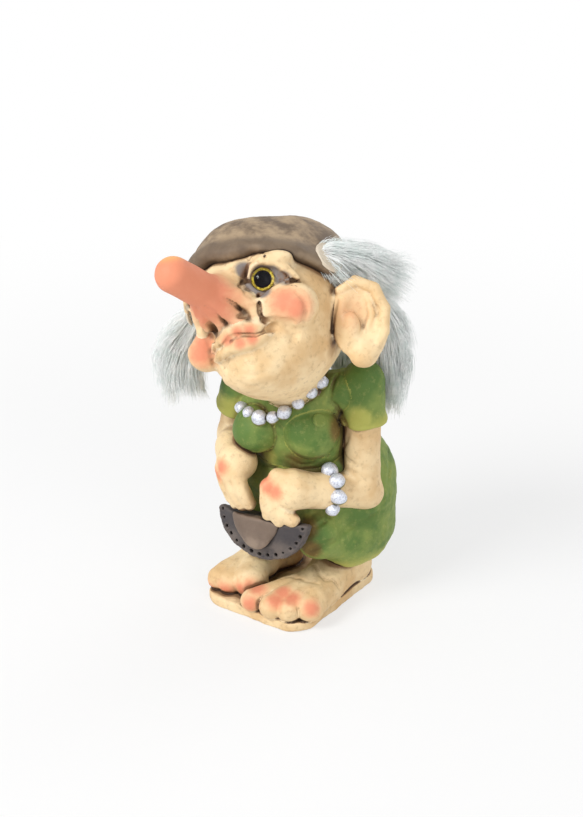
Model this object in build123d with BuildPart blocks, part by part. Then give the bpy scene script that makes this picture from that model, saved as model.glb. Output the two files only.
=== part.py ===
from build123d import *
import math
import os

os.makedirs("parts", exist_ok=True)

# A troll woman figure: hollow castings glued along their seams, glass eyes on wire loops, and
# fur for hair. Millimetres, +Z up, the figure faces -Y, and the origin is the middle of the
# underside. Left and right are the figure's own. Each piece is cut by the forms of what it is
# glued to, grown by the glue line, so that every seam follows the form it sits on.

# Joints and walls
glue_line = 0.15
casting_wall = 5.0
bore_radius = 6.0

# Base slab and its pour hole
base_width = 47.0
base_depth = 56.0
base_thickness = 4.0
base_corner = 9.0
base_edge_round = 1.6
pour_hole_radius = 6.5
pour_hole_back = 13.0
plug_length = 3.0
plug_recess = 0.6
plug_clearance = 0.05

# Skirt: hips, belly and thighs, and the core that stands on the slab between the feet
hip_radii = (28.0, 26.0, 27.0)
hip_rise = 11.0
hip_left = 5.0
hip_back = 16.0
belly_radii = (18.0, 15.0, 17.0)
thigh_radius = 14.0
knee_radius = 9.5
hem_rise = 11.0
skirt_core_radius = 12.0

# Torso and bodice
torso_radii = (20.0, 16.0, 24.0)
torso_left = 1.0
torso_back = 3.0
torso_rise_share = 0.55
chest_radii = (13.0, 9.5, 11.0)
left_yoke_radius = 8.0
right_yoke_radius = 7.0
left_cup_radius = 10.4
right_cup_radius = 8.8
button_radius = 2.6
button_height = 1.2

# Neck and necklace
neck_radius = 11.5
neck_top_radius = 12.5
necklace_bead_radii = (2.5, 2.1, 2.9, 2.3, 2.7)
necklace_bead_gap = 0.3

# Arms and hands
sleeve_radius = 8.0
sleeve_hem_radius = 8.4
shoulder_radius = 6.3
elbow_radius = 7.0
wrist_radius = 6.0
palm_radius = 8.0
knuckle_radius = 3.2
fingertip_radius = 2.7
bracelet_bead_radii = (3.1, 2.8, 2.9, 2.6)
bracelet_bead_gap = 0.3
bracelet_arc = 215.0

# Pouch
pouch_width = 40.0
pouch_depth = 17.0
pouch_thickness = 9.0
pouch_edge_round = 2.2
pouch_lean = 14.0
pouch_roll = 4.0
flap_width = 19.0
flap_depth = 11.0
flap_thickness = 2.4
flap_edge_round = 0.9

# Feet
heel_radius = 9.5
ankle_radius = 9.0
instep_radius = 8.0
left_toe_radii = (4.4, 4.8, 4.6, 5.6)
right_toe_radii = (6.8, 5.0, 4.6)

# Head
head_radii = (27.0, 28.0, 30.0)
head_roll = 25.5
head_pitch = 18.5
head_forward = 17.0
head_rise_share = 0.944
jaw_radii = (21.0, 19.5, 18.5)
cheek_radius = 8.6
muzzle_radii = (12.5, 9.0, 7.5)
brow_radii = (9.5, 5.0, 4.5)

# Nose
nose_root_radius = 7.6
nose_tip_radius = 6.2
nostril_radius = 4.4

# Ears
ear_radii = (10.5, 4.4, 15.0)
ear_hollow_radii = (6.0, 3.4, 9.5)
ear_lobe_radius = 4.8
ear_turn = 35.0

# Headscarf
scarf_thickness = 3.2
brim_band_width = 8.0
brim_band_thickness = 1.0
brim_height_share = 0.16
brim_slope = 30.0
crown_radii = (17.5, 19.0, 18.0)

# Glass eyes: a clear dome with its paint behind it, on a wire loop
eye_radius = 4.0
eye_dome_height = 3.0
eye_paint_thickness = 0.3
pupil_radius = 2.8
iris_radius = 3.6
eye_wire_radius = 0.4
eye_wire_length = 3.5
eye_clearance = 0.1
eye_seat_depth = 1.0
eye_turns = {1: 30.0, -1: 20.0}
eye_tilt = 4.0

# Fur: the hide that is glued on and the hair that stands on it
hide_thickness = 1.0
temple_hair_radii = (6.0, 7.5, 8.0)
side_hair_radii = (6.5, 8.0, 5.5)
back_hair_radii = (8.0, 7.0, 4.5)

half = 0.5
sides = {"left": 1, "right": -1}


def ball(centre, radii, grow=0.0, frame=Plane.XY):
    # An ellipsoid on a frame's axes, grown all round
    with BuildPart() as form:
        Sphere(1)
        scale(by=tuple(radius + grow for radius in radii))
    return form.part.moved(Location(Plane(origin=centre, x_dir=frame.x_dir, z_dir=frame.z_dir)))


def round_ball(centre, radius, grow=0.0):
    # A true sphere, grown all round
    with BuildPart() as form:
        Sphere(radius + grow)
    return form.part.moved(Location(centre))


def pill(start, end, start_radius, end_radius, grow=0.0):
    # A round cone between two spheres, grown all round
    run = (end - start).length
    first_radius, last_radius = start_radius + grow, end_radius + grow
    lean = math.asin((first_radius - last_radius) / run)
    rise, out = math.sin(lean), math.cos(lean)
    low, high = half * (lean - half * math.pi), half * (lean + half * math.pi)
    with BuildPart() as form:
        with BuildSketch(Plane.XZ):
            with BuildLine():
                bottom = ThreePointArc(
                    (0, -first_radius),
                    (first_radius * math.cos(low), first_radius * math.sin(low)),
                    (first_radius * out, first_radius * rise),
                )
                flank = Line(bottom @ 1, (last_radius * out, run + last_radius * rise))
                top = ThreePointArc(
                    flank @ 1,
                    (last_radius * math.cos(high), run + last_radius * math.sin(high)),
                    (0, run + last_radius),
                )
                Line(top @ 1, bottom @ 0)
            make_face()
        revolve(axis=Axis.Z)
    return form.part.moved(Location(Plane(origin=start, z_dir=(end - start).normalized())))


def spot(centre, radii, shares, frame=Plane.XY):
    # A place given as shares of a form's radii, along its left, front and up
    left, front, up = (share * radius for share, radius in zip(shares, radii))
    return Vector(centre) + frame.x_dir * left - frame.y_dir * front + frame.z_dir * up


def join(*forms):
    # Fuses forms into the piece being built
    add(forms)


def cut_by(*forms):
    # Cuts the piece being built by its neighbours' forms
    add(forms, mode=Mode.SUBTRACT)


def save(piece, name):
    piece.part.label = name
    export_step(piece.part, f"parts/{name}.step")


# Where the big forms stand, from the ground up
hip_centre = Vector(hip_left, hip_back, base_thickness + hip_rise + hip_radii[2])
torso_centre = Vector(
    torso_left,
    torso_back,
    hip_centre.Z + torso_rise_share * (hip_radii[2] + torso_radii[2]),
)
head_centre = Vector(
    torso_left,
    torso_back - head_forward,
    torso_centre.Z + head_rise_share * (torso_radii[2] + head_radii[2]),
)
roll, pitch = math.radians(head_roll), math.radians(head_pitch)
head_frame = Plane(
    origin=head_centre,
    x_dir=(math.cos(roll), math.sin(roll) * math.sin(pitch), math.sin(roll) * math.cos(pitch)),
    z_dir=(-math.sin(roll), math.cos(roll) * math.sin(pitch), math.cos(roll) * math.cos(pitch)),
)


def on_hips(shares):
    return spot(hip_centre, hip_radii, shares)


def on_torso(shares):
    return spot(torso_centre, torso_radii, shares)


def on_head(shares, hand=1):
    return spot(head_centre, head_radii, (hand * shares[0], *shares[1:]), head_frame)


def by_head(shares):
    # Round the head, but along the upright axes, as hanging hair is
    return spot(head_centre, head_radii, shares)


# The hollow that runs from the pour hole up into the head
def bore_forms():
    mouth = Vector(hip_left, pour_hole_back, base_thickness)
    stops = (mouth, hip_centre, torso_centre, head_centre)
    return [pill(low, high, bore_radius, bore_radius) for low, high in zip(stops, stops[1:])]


bore = bore_forms()

# Base slab
with BuildPart() as slab:
    with BuildSketch():
        RectangleRounded(base_width, base_depth, base_corner)
    extrude(amount=base_thickness)
    fillet(slab.edges().group_by(Axis.Z)[-1], base_edge_round)
    with Locations((hip_left, pour_hole_back, base_thickness)):
        Hole(pour_hole_radius)
save(slab, "base_slab")

with BuildPart() as plug:
    with BuildSketch(Plane.XY.offset(plug_recess)):
        with Locations((hip_left, pour_hole_back)):
            Circle(pour_hole_radius - plug_clearance)
    extrude(amount=plug_length)
save(plug, "pour_hole_plug")

with BuildPart() as below_slab_top:
    Box(
        base_width + base_depth,
        base_width + base_depth,
        base_width,
        align=(Align.CENTER, Align.CENTER, Align.MAX),
    )
ground_block = below_slab_top.part.moved(Location((0, 0, base_thickness + glue_line)))

# Skirt
knee_shares = {"left": (0.43, 0.85, -0.37), "right": (-0.50, 0.92, -0.41)}
thigh_shares = {"left": (0.39, -0.23, -0.46), "right": (-0.46, -0.08, -0.46)}
belly_shares = (-0.14, 0.54, 0.22)
hem_top = base_thickness + hem_rise


def skirt_forms(grow=0.0):
    forms = [ball(hip_centre, hip_radii, grow), ball(on_hips(belly_shares), belly_radii, grow)]
    for side in sides:
        thigh, knee = on_hips(thigh_shares[side]), on_hips(knee_shares[side])
        forms.append(pill(thigh, knee, thigh_radius, knee_radius, grow))
    return forms


def skirt_core(grow=0.0):
    with BuildPart() as form:
        with BuildSketch(Plane.XY.offset(base_thickness + glue_line)):
            with Locations((hip_left, pour_hole_back)):
                Circle(skirt_core_radius + grow)
        extrude(amount=hip_rise + hip_radii[2])
    return form.part


hem_block = below_slab_top.part.moved(Location((0, 0, hem_top)))
core_part = skirt_core()
with BuildPart() as skirt:
    join(*skirt_forms())
    cut_by(hem_block)
    join(core_part)
    cut_by(ball(hip_centre, hip_radii, -casting_wall), *bore[:2])
save(skirt, "skirt")

# Feet: toes that spread from an instep, a heel, and an ankle that ends under the hem
heel_shares = {"left": (0.32, 0.60), "right": (-0.27, 0.36)}
instep_shares = {"left": (0.34, -0.12), "right": (-0.27, -0.10)}
toe_shares = {
    "left": ((0.00, -0.93), (0.19, -0.92), (0.33, -0.86), (0.45, -0.68)),
    "right": ((-0.15, -0.61), (-0.31, -0.73), (-0.42, -0.74)),
}
toe_rise_share = {"left": 0.70, "right": 0.80}
sole_share = 0.94
toe_root_share = 0.15
outer_reach_share = 0.85
toe_radii = {"left": left_toe_radii, "right": right_toe_radii}


def foot_forms(side, grow=0.0):
    def place(shares, rise):
        return Vector(base_width * shares[0], half * base_depth * shares[1], base_thickness + rise)

    heel = place(heel_shares[side], half * heel_radius)
    ankle = place(heel_shares[side], hem_rise)
    instep = place(instep_shares[side], toe_rise_share[side] * instep_radius)
    forms = [
        pill(heel, ankle, heel_radius, ankle_radius, grow),
        pill(ankle, instep, ankle_radius, instep_radius, grow),
        pill(heel, instep, sole_share * heel_radius, sole_share * instep_radius, grow),
    ]
    for shares, radius in zip(toe_shares[side], toe_radii[side]):
        tip = place(shares, toe_rise_share[side] * radius)
        root = instep + (tip - instep) * toe_root_share
        forms.append(pill(root, tip, half * (instep_radius + radius), radius, grow))
    outer_end = heel + (tip - heel) * outer_reach_share
    forms.append(pill(heel, outer_end, half * (heel_radius + radius), radius, grow))
    return forms


with BuildPart() as above_hem:
    Box(
        base_width + base_depth,
        base_width + base_depth,
        base_width,
        align=(Align.CENTER, Align.CENTER, Align.MIN),
    )
above_hem_block = above_hem.part.moved(Location((0, 0, hem_top - glue_line)))

with BuildPart() as left_foot:
    join(*foot_forms("left"))
    cut_by(ground_block, above_hem_block, skirt_core(glue_line))
save(left_foot, "left_foot")

with BuildPart() as right_foot:
    join(*foot_forms("right"))
    cut_by(ground_block, above_hem_block, skirt_core(glue_line), *foot_forms("left", glue_line))
save(right_foot, "right_foot")

# Torso with its chest and the yoke that carries both shoulders
chest_shares = (0.20, 0.44, 0.42)
yoke_shares = {"left": (0.95, -0.19, 0.75), "right": (-0.80, 0.44, 0.38)}


def torso_forms(grow=0.0):
    left_end, right_end = on_torso(yoke_shares["left"]), on_torso(yoke_shares["right"])
    return [
        ball(torso_centre, torso_radii, grow),
        ball(on_torso(chest_shares), chest_radii, grow),
        pill(left_end, right_end, left_yoke_radius, right_yoke_radius, grow),
    ]


jaw_shares = (-0.06, 0.39, -0.44)


def skull_forms(grow=0.0):
    return [
        ball(head_centre, head_radii, grow, head_frame),
        ball(on_head(jaw_shares), jaw_radii, grow, head_frame),
    ]


with BuildPart() as torso:
    join(*torso_forms())
    cut_by(*skirt_forms(glue_line), *skull_forms(glue_line))
    cut_by(ball(torso_centre, torso_radii, -casting_wall), *bore[1:])
save(torso, "torso")

# Bodice cups and the round button on the left one
cup_shares = {"left": (0.57, 0.50, 0.15), "right": (-0.40, 1.0, 0.08)}
cup_radii = {"left": left_cup_radius, "right": right_cup_radius}
button_shares = (0.59, 0.40, 0.70)


def cup_form(side, grow=0.0):
    return round_ball(on_torso(cup_shares[side]), cup_radii[side], grow)


for side in sides:
    with BuildPart() as cup:
        join(cup_form(side))
        cut_by(*torso_forms(glue_line))
    save(cup, f"{side}_bodice_cup")

button_axis = spot((0, 0, 0), (1, 1, 1), button_shares).normalized()
button_seat = on_torso(cup_shares["left"]) + button_axis * (left_cup_radius - button_height * half)
with BuildPart() as button:
    with BuildSketch(Plane(origin=button_seat, z_dir=button_axis)):
        Circle(button_radius)
    extrude(amount=button_height)
    fillet(button.edges().group_by(Axis(button_seat, button_axis))[-1], button_height * half)
    cut_by(cup_form("left", glue_line))
save(button, "bodice_button")

# Neck
neck_foot_shares = (0.0, 0.12, 0.60)
neck_top_shares = (0.0, -0.10, -0.50)


def neck_form(grow=0.0):
    return pill(on_torso(neck_foot_shares), on_head(neck_top_shares), neck_radius, neck_top_radius, grow)


with BuildPart() as neck:
    join(neck_form())
    cut_by(*torso_forms(glue_line), *skull_forms(glue_line), *bore[2:])
save(neck, "neck")

# Head with its cheeks, muzzle and brows, and the seats of the two glass eyes
cheek_shares = {1: (0.68, 0.62, -0.18), -1: (0.60, 0.70, -0.34)}
muzzle_shares = (0.04, 0.86, -0.40)
brow_shares = (0.50, 0.74, 0.44)
eye_shares = {1: (0.52, 0.84, 0.25), -1: (0.44, 0.88, 0.22)}


def face_forms(grow=0.0):
    forms = [ball(on_head(muzzle_shares), muzzle_radii, grow, head_frame)]
    for hand in sides.values():
        forms.append(round_ball(on_head(cheek_shares[hand], hand), cheek_radius, grow))
        forms.append(ball(on_head(brow_shares, hand), brow_radii, grow, head_frame))
    return forms


def eye_frame(hand):
    turn, tilt = math.radians(eye_turns[hand]), math.radians(eye_tilt)
    gaze = (
        head_frame.x_dir * (hand * math.sin(turn) * math.cos(tilt))
        - head_frame.y_dir * (math.cos(turn) * math.cos(tilt))
        + head_frame.z_dir * math.sin(tilt)
    )
    return Plane(origin=on_head(eye_shares[hand], hand) - gaze * eye_seat_depth, z_dir=gaze)


def eye_seat(frame):
    # The pocket that the glass drops into, and the hole for its wire
    with BuildPart() as form:
        with BuildSketch(frame.offset(-eye_clearance)):
            Circle(eye_radius + eye_clearance)
        extrude(amount=head_radii[1] * half)
        with BuildSketch(frame.offset(-eye_wire_length - eye_clearance)):
            Circle(eye_wire_radius + eye_clearance)
        extrude(amount=eye_wire_length)
    return form.part


with BuildPart() as head:
    join(*skull_forms(), *face_forms())
    cut_by(ball(head_centre, head_radii, -casting_wall, head_frame))
    cut_by(*bore[2:])
    cut_by(*(eye_seat(eye_frame(hand)) for hand in sides.values()))
save(head, "head")

for side, hand in sides.items():
    frame = eye_frame(hand)
    with BuildPart() as pupil:
        with BuildSketch(frame):
            Circle(pupil_radius)
        extrude(amount=eye_paint_thickness)
    save(pupil, f"{side}_eye_pupil")

    with BuildPart() as iris:
        with BuildSketch(frame):
            Circle(iris_radius)
            Circle(pupil_radius, mode=Mode.SUBTRACT)
        extrude(amount=eye_paint_thickness)
    save(iris, f"{side}_eye_iris")

    with BuildPart() as dome:
        Sphere(1)
        scale(by=(eye_radius, eye_radius, eye_dome_height))
        split(bisect_by=Plane.XY, keep=Keep.TOP)
    dome.part = dome.part.moved(Location(frame.offset(eye_paint_thickness)))
    save(dome, f"{side}_eye_glass")

    with BuildPart() as wire:
        with BuildSketch(frame.offset(-eye_wire_length)):
            Circle(eye_wire_radius)
        extrude(amount=eye_wire_length)
    save(wire, f"{side}_eye_wire")

# Nose
nose_root_shares = (0.0, 0.86, 0.04)
nose_tip_shares = (0.0, 1.94, 0.39)
nostril_shares = (0.25, 0.98, -0.11)
with BuildPart() as nose:
    join(pill(on_head(nose_root_shares), on_head(nose_tip_shares), nose_root_radius, nose_tip_radius))
    join(*(round_ball(on_head(nostril_shares, hand), nostril_radius) for hand in sides.values()))
    cut_by(*skull_forms(glue_line), *face_forms(glue_line))
save(nose, "nose")

# Headscarf: a cap over the skull with a folded band along its brim
crown_shares = (0.40, -0.24, 0.42)
brim_frame = Plane(
    origin=on_head((0.0, 0.0, brim_height_share)),
    x_dir=head_frame.x_dir,
    z_dir=head_frame.z_dir,
).rotated((-brim_slope, 0, 0))


def crown_ball(grow=0.0):
    return ball(on_head(crown_shares), crown_radii, grow, head_frame)


def scarf_ball(grow=0.0):
    return ball(head_centre, head_radii, glue_line + scarf_thickness + grow, head_frame)


def scarf_outside(grow=0.0):
    return [scarf_ball(brim_band_thickness + grow), crown_ball(grow)]


with BuildPart() as band:
    join(scarf_ball(brim_band_thickness))
    split(bisect_by=brim_frame.offset(brim_band_width), keep=Keep.BOTTOM)
with BuildPart() as scarf:
    join(scarf_ball(), crown_ball(), band.part)
    split(bisect_by=brim_frame, keep=Keep.TOP)
    cut_by(skull_forms(glue_line)[0], *face_forms(glue_line))
save(scarf, "headscarf")

# Ears
ear_shares = {1: (1.20, -0.12, -0.36), -1: (1.10, -0.45, -0.16)}
ear_hollow_shares = (0.18, 1.0, 0.08)
ear_lobe_shares = (-0.28, 0.0, -0.85)


def ear_frame(hand):
    turn = math.radians(ear_turn)
    return Plane(
        origin=on_head(ear_shares[hand], hand),
        x_dir=head_frame.x_dir * math.cos(turn) + head_frame.y_dir * (hand * math.sin(turn)),
        z_dir=head_frame.z_dir,
    )


def ear_forms(hand, grow=0.0):
    frame = ear_frame(hand)
    lobe = (hand * ear_lobe_shares[0], *ear_lobe_shares[1:])
    return [
        ball(frame.origin, ear_radii, grow, frame),
        round_ball(spot(frame.origin, ear_radii, lobe, frame), ear_lobe_radius, grow),
    ]


for side, hand in sides.items():
    frame = ear_frame(hand)
    hollow = (hand * ear_hollow_shares[0], *ear_hollow_shares[1:])
    with BuildPart() as ear:
        join(*ear_forms(hand))
        cut_by(ball(spot(frame.origin, ear_radii, hollow, frame), ear_hollow_radii, 0.0, frame))
        cut_by(*skull_forms(glue_line), *scarf_outside(glue_line))
    save(ear, f"{side}_ear")
ears_around = [form for hand in sides.values() for form in ear_forms(hand, glue_line)]

# Pouch on the lap, with a flap over its front
pouch_shares = (-0.12, 1.375, 0.0)
pouch_frame = Plane(
    origin=on_hips(pouch_shares),
    x_dir=(math.cos(math.radians(pouch_roll)), 0, math.sin(math.radians(pouch_roll))),
    z_dir=(0, -1, 0),
).rotated((-pouch_lean, 0, 0))


def half_moon(frame, width, depth, thickness, edge_round):
    with BuildPart() as form:
        with BuildSketch(frame):
            Ellipse(half * width, depth)
            with Locations((0, half * depth)):
                Rectangle(width, depth, mode=Mode.SUBTRACT)
        extrude(amount=half * thickness, both=True)
        if edge_round:
            fillet(form.edges(), edge_round)
    return form.part


pouch_part = half_moon(pouch_frame, pouch_width, pouch_depth, pouch_thickness, pouch_edge_round)
pouch_outer = half_moon(
    pouch_frame,
    pouch_width + 2 * glue_line,
    pouch_depth + glue_line,
    pouch_thickness + 2 * glue_line,
    0,
)
with BuildPart() as pouch:
    join(pouch_part)
    cut_by(*skirt_forms(glue_line), *foot_forms("right", glue_line), *foot_forms("left", glue_line))
save(pouch, "pouch_body")

flap_frame = pouch_frame.offset(half * (pouch_thickness + flap_thickness) + glue_line)
flap_outer = half_moon(
    flap_frame,
    flap_width + 2 * glue_line,
    flap_depth + glue_line,
    flap_thickness + 2 * glue_line,
    0,
)
with BuildPart() as flap:
    join(half_moon(flap_frame, flap_width, flap_depth, flap_thickness, flap_edge_round))
save(flap, "pouch_flap")

# Arms: sleeve, arm with its bent elbow, and a hand that grips the pouch
shoulder_shares = {"left": (1.25, -0.31, 0.92), "right": (-1.05, 0.45, 0.55)}
elbow_shares = {"left": (1.30, -0.25, -0.90), "right": (-1.35, 0.20, -0.45)}
wrist_shares = {"left": (0.94, 0.72, -0.74), "right": (-0.95, 1.00, -0.36)}
palm_shares = {"left": (0.60, 1.30, -0.64), "right": (-0.66, 1.34, -0.44)}
knuckle_shares = {
    "left": ((0.36, 1.52, -0.45), (0.28, 1.66, -0.60), (0.30, 1.68, -0.78), (0.42, 1.60, -0.92)),
    "right": ((-0.92, 1.42, -0.62), (-0.80, 1.56, -0.58), (-0.66, 1.64, -0.56), (-0.50, 1.66, -0.54)),
}
fingertip_shares = {
    "left": ((0.22, 1.60, -0.92), (0.30, 1.66, -1.04), (0.50, 1.62, -1.10), (0.78, 1.46, -1.06)),
    "right": ((-0.66, 1.50, -0.98), (-0.52, 1.56, -1.02), (-0.38, 1.60, -1.02), (-0.22, 1.60, -0.98)),
}
sleeve_reach_share = {"left": 0.36, "right": 0.40}
bracelet_share = 0.88


def arm_forms(side, grow=0.0):
    shoulder, elbow = on_torso(shoulder_shares[side]), on_torso(elbow_shares[side])
    return [
        pill(shoulder, elbow, shoulder_radius, elbow_radius, grow),
        pill(elbow, on_torso(wrist_shares[side]), elbow_radius, wrist_radius, grow),
    ]


def hand_forms(side, grow=0.0):
    wrist, palm = on_torso(wrist_shares[side]), on_torso(palm_shares[side])
    forms = [pill(wrist, palm, wrist_radius, palm_radius, grow)]
    for knuckle, tip in zip(knuckle_shares[side], fingertip_shares[side]):
        joint = on_torso(knuckle)
        forms.append(pill(palm + (joint - palm) * half, joint, knuckle_radius, knuckle_radius, grow))
        forms.append(pill(joint, on_torso(tip), knuckle_radius, fingertip_radius, grow))
    return forms


def sleeve_form(side):
    shoulder, elbow = on_torso(shoulder_shares[side]), on_torso(elbow_shares[side])
    hem = shoulder + (elbow - shoulder) * sleeve_reach_share[side]
    with BuildPart() as form:
        join(pill(shoulder, hem, sleeve_radius, sleeve_hem_radius))
        split(bisect_by=Plane(origin=hem, z_dir=shoulder - hem), keep=Keep.TOP)
    return form.part


body_around = [*torso_forms(glue_line), *skirt_forms(glue_line)]
cups_around = [cup_form(side, glue_line) for side in sides]
for side in sides:
    with BuildPart() as arm:
        join(*arm_forms(side))
        cut_by(*body_around, *cups_around, *skull_forms(glue_line), *ears_around)
    save(arm, f"{side}_arm")

    sleeve_part = sleeve_form(side)
    with BuildPart() as sleeve:
        join(sleeve_part)
        cut_by(arm_forms(side, glue_line)[0], *torso_forms(glue_line), *cups_around)
        cut_by(neck_form(glue_line), *skull_forms(glue_line), *ears_around)
    save(sleeve, f"{side}_sleeve")

with BuildPart() as left_hand:
    join(*hand_forms("left"))
    cut_by(*arm_forms("left", glue_line), *body_around, pouch_outer, flap_outer)
save(left_hand, "left_hand")

with BuildPart() as right_hand:
    join(*hand_forms("right"))
    cut_by(*arm_forms("right", glue_line), *hand_forms("left", glue_line), *body_around, pouch_outer)
    cut_by(*cups_around, flap_outer)
save(right_hand, "right_hand")

# Necklace beads along their string, and bracelet beads round the left wrist
necklace_shares = (
    (-0.74, 1.00, 0.36),
    (-0.44, 1.22, 0.40),
    (-0.16, 1.28, 0.39),
    (0.10, 1.22, 0.44),
    (0.30, 1.12, 0.54),
    (0.52, 0.96, 0.70),
    (0.68, 0.74, 0.85),
    (0.75, 0.45, 0.97),
    (0.82, 0.20, 1.08),
)
with BuildLine() as string:
    Spline(*(on_torso(shares) for shares in necklace_shares))
string_wire = string.wires()[0]
near_necklace = [*torso_forms(glue_line), *cups_around, neck_form(glue_line), *skull_forms(glue_line)]


def bead_row(wire, radii, gap):
    # Bead radii and places along a wire, side by side from its start
    beads, reach = [], 0.0
    while True:
        radius = radii[len(beads) % len(radii)]
        if reach + 2 * radius > wire.length:
            return beads
        beads.append((wire.position_at((reach + radius) / wire.length), radius))
        reach += 2 * radius + gap


def seated_bead(place, radius, around):
    with BuildPart() as bead:
        Sphere(radius)
        cut_by(*(form.moved(Location(-place)) for form in around))
    return bead.part.moved(Location(place))


with BuildPart() as necklace:
    for place, radius in bead_row(string_wire, necklace_bead_radii, necklace_bead_gap):
        add(seated_bead(place, radius, near_necklace))
save(necklace, "necklace_beads")

# The bracelet goes round the outer side of the wrist, from above it to below it
forearm = on_torso(wrist_shares["left"]) - on_torso(elbow_shares["left"])
bracelet_frame = Plane(
    origin=on_torso(elbow_shares["left"]) + forearm * bracelet_share,
    x_dir=forearm.cross(Vector(1, 0, 0)).cross(forearm).normalized(),
    z_dir=forearm.normalized(),
)
bracelet_ring = elbow_radius + (wrist_radius - elbow_radius) * bracelet_share
with BuildLine(bracelet_frame) as bracelet_line:
    CenterArc((0, 0), bracelet_ring + bracelet_bead_radii[-1] * half, bracelet_arc * half, -bracelet_arc)
bracelet_wire = bracelet_line.wires()[0]
near_bracelet = [*arm_forms("left", glue_line), hand_forms("left", glue_line)[0], skirt_forms(glue_line)[0]]
with BuildPart() as bracelet:
    for place, radius in bead_row(bracelet_wire, bracelet_bead_radii, bracelet_bead_gap):
        add(seated_bead(place, radius, near_bracelet))
save(bracelet, "bracelet_beads")

# Hair: each tuft's hide lies on the scarf, and its hair stands clear of everything else
hide_under = glue_line
hide_top = glue_line + hide_thickness
hair_under = hide_top + glue_line
temple_hair_shares = ((1.04, 0.11, 0.38), (1.30, -0.43, 0.16), (1.33, -0.92, 0.0))
temple_hair_points = [on_head(shares) for shares in temple_hair_shares]
side_hair_points = [
    on_head((-1.04, 0.11, 0.22)),
    by_head((-1.30, 0.32, -0.58)),
    by_head((-1.30, 0.28, -0.92)),
]
back_hair_shares = (
    ((0.82, -1.20, -0.03), (0.98, -1.34, -0.77), (1.06, -1.28, -1.28)),
    ((0.16, -1.24, -0.36), (0.24, -1.46, -0.90), (0.24, -1.46, -1.20)),
    ((-0.58, -1.04, -0.60), (-0.66, -1.24, -1.00), (-0.66, -1.24, -1.28)),
)
back_hair_rows = [[by_head(shares) for shares in row] for row in back_hair_shares]


def lock_forms(points, radii, grow=0.0):
    forms = []
    for row in range(len(points) - 1):
        forms.append(pill(points[row], points[row + 1], radii[row], radii[row + 1], grow))
    return forms


def hide_forms(roots, radius):
    return [round_ball(root, radius) for root in roots]


hairs = {
    "left_temple": ([temple_hair_points], temple_hair_radii),
    "right_temple": ([side_hair_points], side_hair_radii),
    "back": (back_hair_rows, back_hair_radii),
}
with BuildPart() as hide_shell:
    join(*scarf_outside(hide_top))
hair_clear = [*body_around, *ears_around, neck_form(glue_line), skull_forms(glue_line)[1]]
for side in sides:
    shoulder, elbow = on_torso(shoulder_shares[side]), on_torso(elbow_shares[side])
    hair_clear.append(pill(shoulder, elbow, sleeve_radius, sleeve_hem_radius, glue_line))

for name, (locks, radii) in hairs.items():
    roots = [points[0] for points in locks]
    with BuildPart() as hide:
        join(*hide_forms(roots, radii[0]))
        add(hide_shell.part, mode=Mode.INTERSECT)
        cut_by(*scarf_outside(hide_under), *ears_around)
    save(hide, f"{name}_hide")
    with BuildPart() as hair:
        for points in locks:
            join(*lock_forms(points, radii))
        cut_by(*scarf_outside(hair_under), *hair_clear)
    save(hair, f"{name}_hair")
    hair_clear += [form for points in locks for form in lock_forms(points, radii, glue_line)]
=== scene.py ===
import itertools
import math

import bpy
import numpy as np
from mathutils import Matrix, Vector


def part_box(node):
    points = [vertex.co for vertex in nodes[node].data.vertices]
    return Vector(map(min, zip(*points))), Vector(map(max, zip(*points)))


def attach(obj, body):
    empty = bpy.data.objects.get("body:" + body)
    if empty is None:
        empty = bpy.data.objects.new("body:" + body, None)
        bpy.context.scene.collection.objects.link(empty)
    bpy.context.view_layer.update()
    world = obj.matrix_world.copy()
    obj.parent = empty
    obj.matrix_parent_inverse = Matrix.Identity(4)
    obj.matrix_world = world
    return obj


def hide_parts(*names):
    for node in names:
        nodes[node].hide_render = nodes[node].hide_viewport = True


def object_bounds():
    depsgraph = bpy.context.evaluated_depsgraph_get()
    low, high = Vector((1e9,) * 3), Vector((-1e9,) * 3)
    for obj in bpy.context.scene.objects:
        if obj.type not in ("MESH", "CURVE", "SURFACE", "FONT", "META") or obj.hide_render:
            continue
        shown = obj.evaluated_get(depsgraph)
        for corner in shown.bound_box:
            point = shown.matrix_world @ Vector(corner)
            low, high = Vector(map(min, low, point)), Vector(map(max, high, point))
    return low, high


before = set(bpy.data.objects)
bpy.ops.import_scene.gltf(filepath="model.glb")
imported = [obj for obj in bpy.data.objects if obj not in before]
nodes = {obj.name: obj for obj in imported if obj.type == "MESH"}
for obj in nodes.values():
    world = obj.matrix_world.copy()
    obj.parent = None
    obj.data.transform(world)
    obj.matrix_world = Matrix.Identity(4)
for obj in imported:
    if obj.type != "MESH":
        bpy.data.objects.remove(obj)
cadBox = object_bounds()
mm = 0.001

# The clay is a distance field in millimetres: rounded forms that melt into each other,
# with cracks pressed in, drawn off as a closed mesh. Left and right are the figure's own.


def spot(*place):
    return np.array(place, float)


def length(v):
    return np.sqrt(np.einsum("ij,ij->i", v, v))


def ball(p, centre, radii, axes=None):  # an ellipsoid, or a sphere from one radius
    q = p - centre
    if axes is not None:
        q = q @ axes.T
    q = q / radii
    reach = length(q)
    return reach * (reach - 1) / np.maximum(length(q / radii), 1e-6)


def pill(p, start, end, startRadius, endRadius):
    run = end - start
    along = np.clip((p - start) @ run / (run @ run), 0, 1)
    return length(p - start - along[:, None] * run) - (startRadius + (endRadius - startRadius) * along)


def tube(p, points, radii):  # pills end to end
    points = np.asarray(points)
    gap = np.full(len(p), 1e3)
    for k in range(len(points) - 1):
        gap = np.minimum(gap, pill(p, points[k], points[k + 1], radii[k], radii[k + 1]))
    return gap


def melt(a, b, soft):  # joins two forms with a soft valley
    h = np.clip(0.5 + 0.5 * (b - a) / soft, 0, 1)
    return b + (a - b) * h - soft * h * (1 - h)


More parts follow.
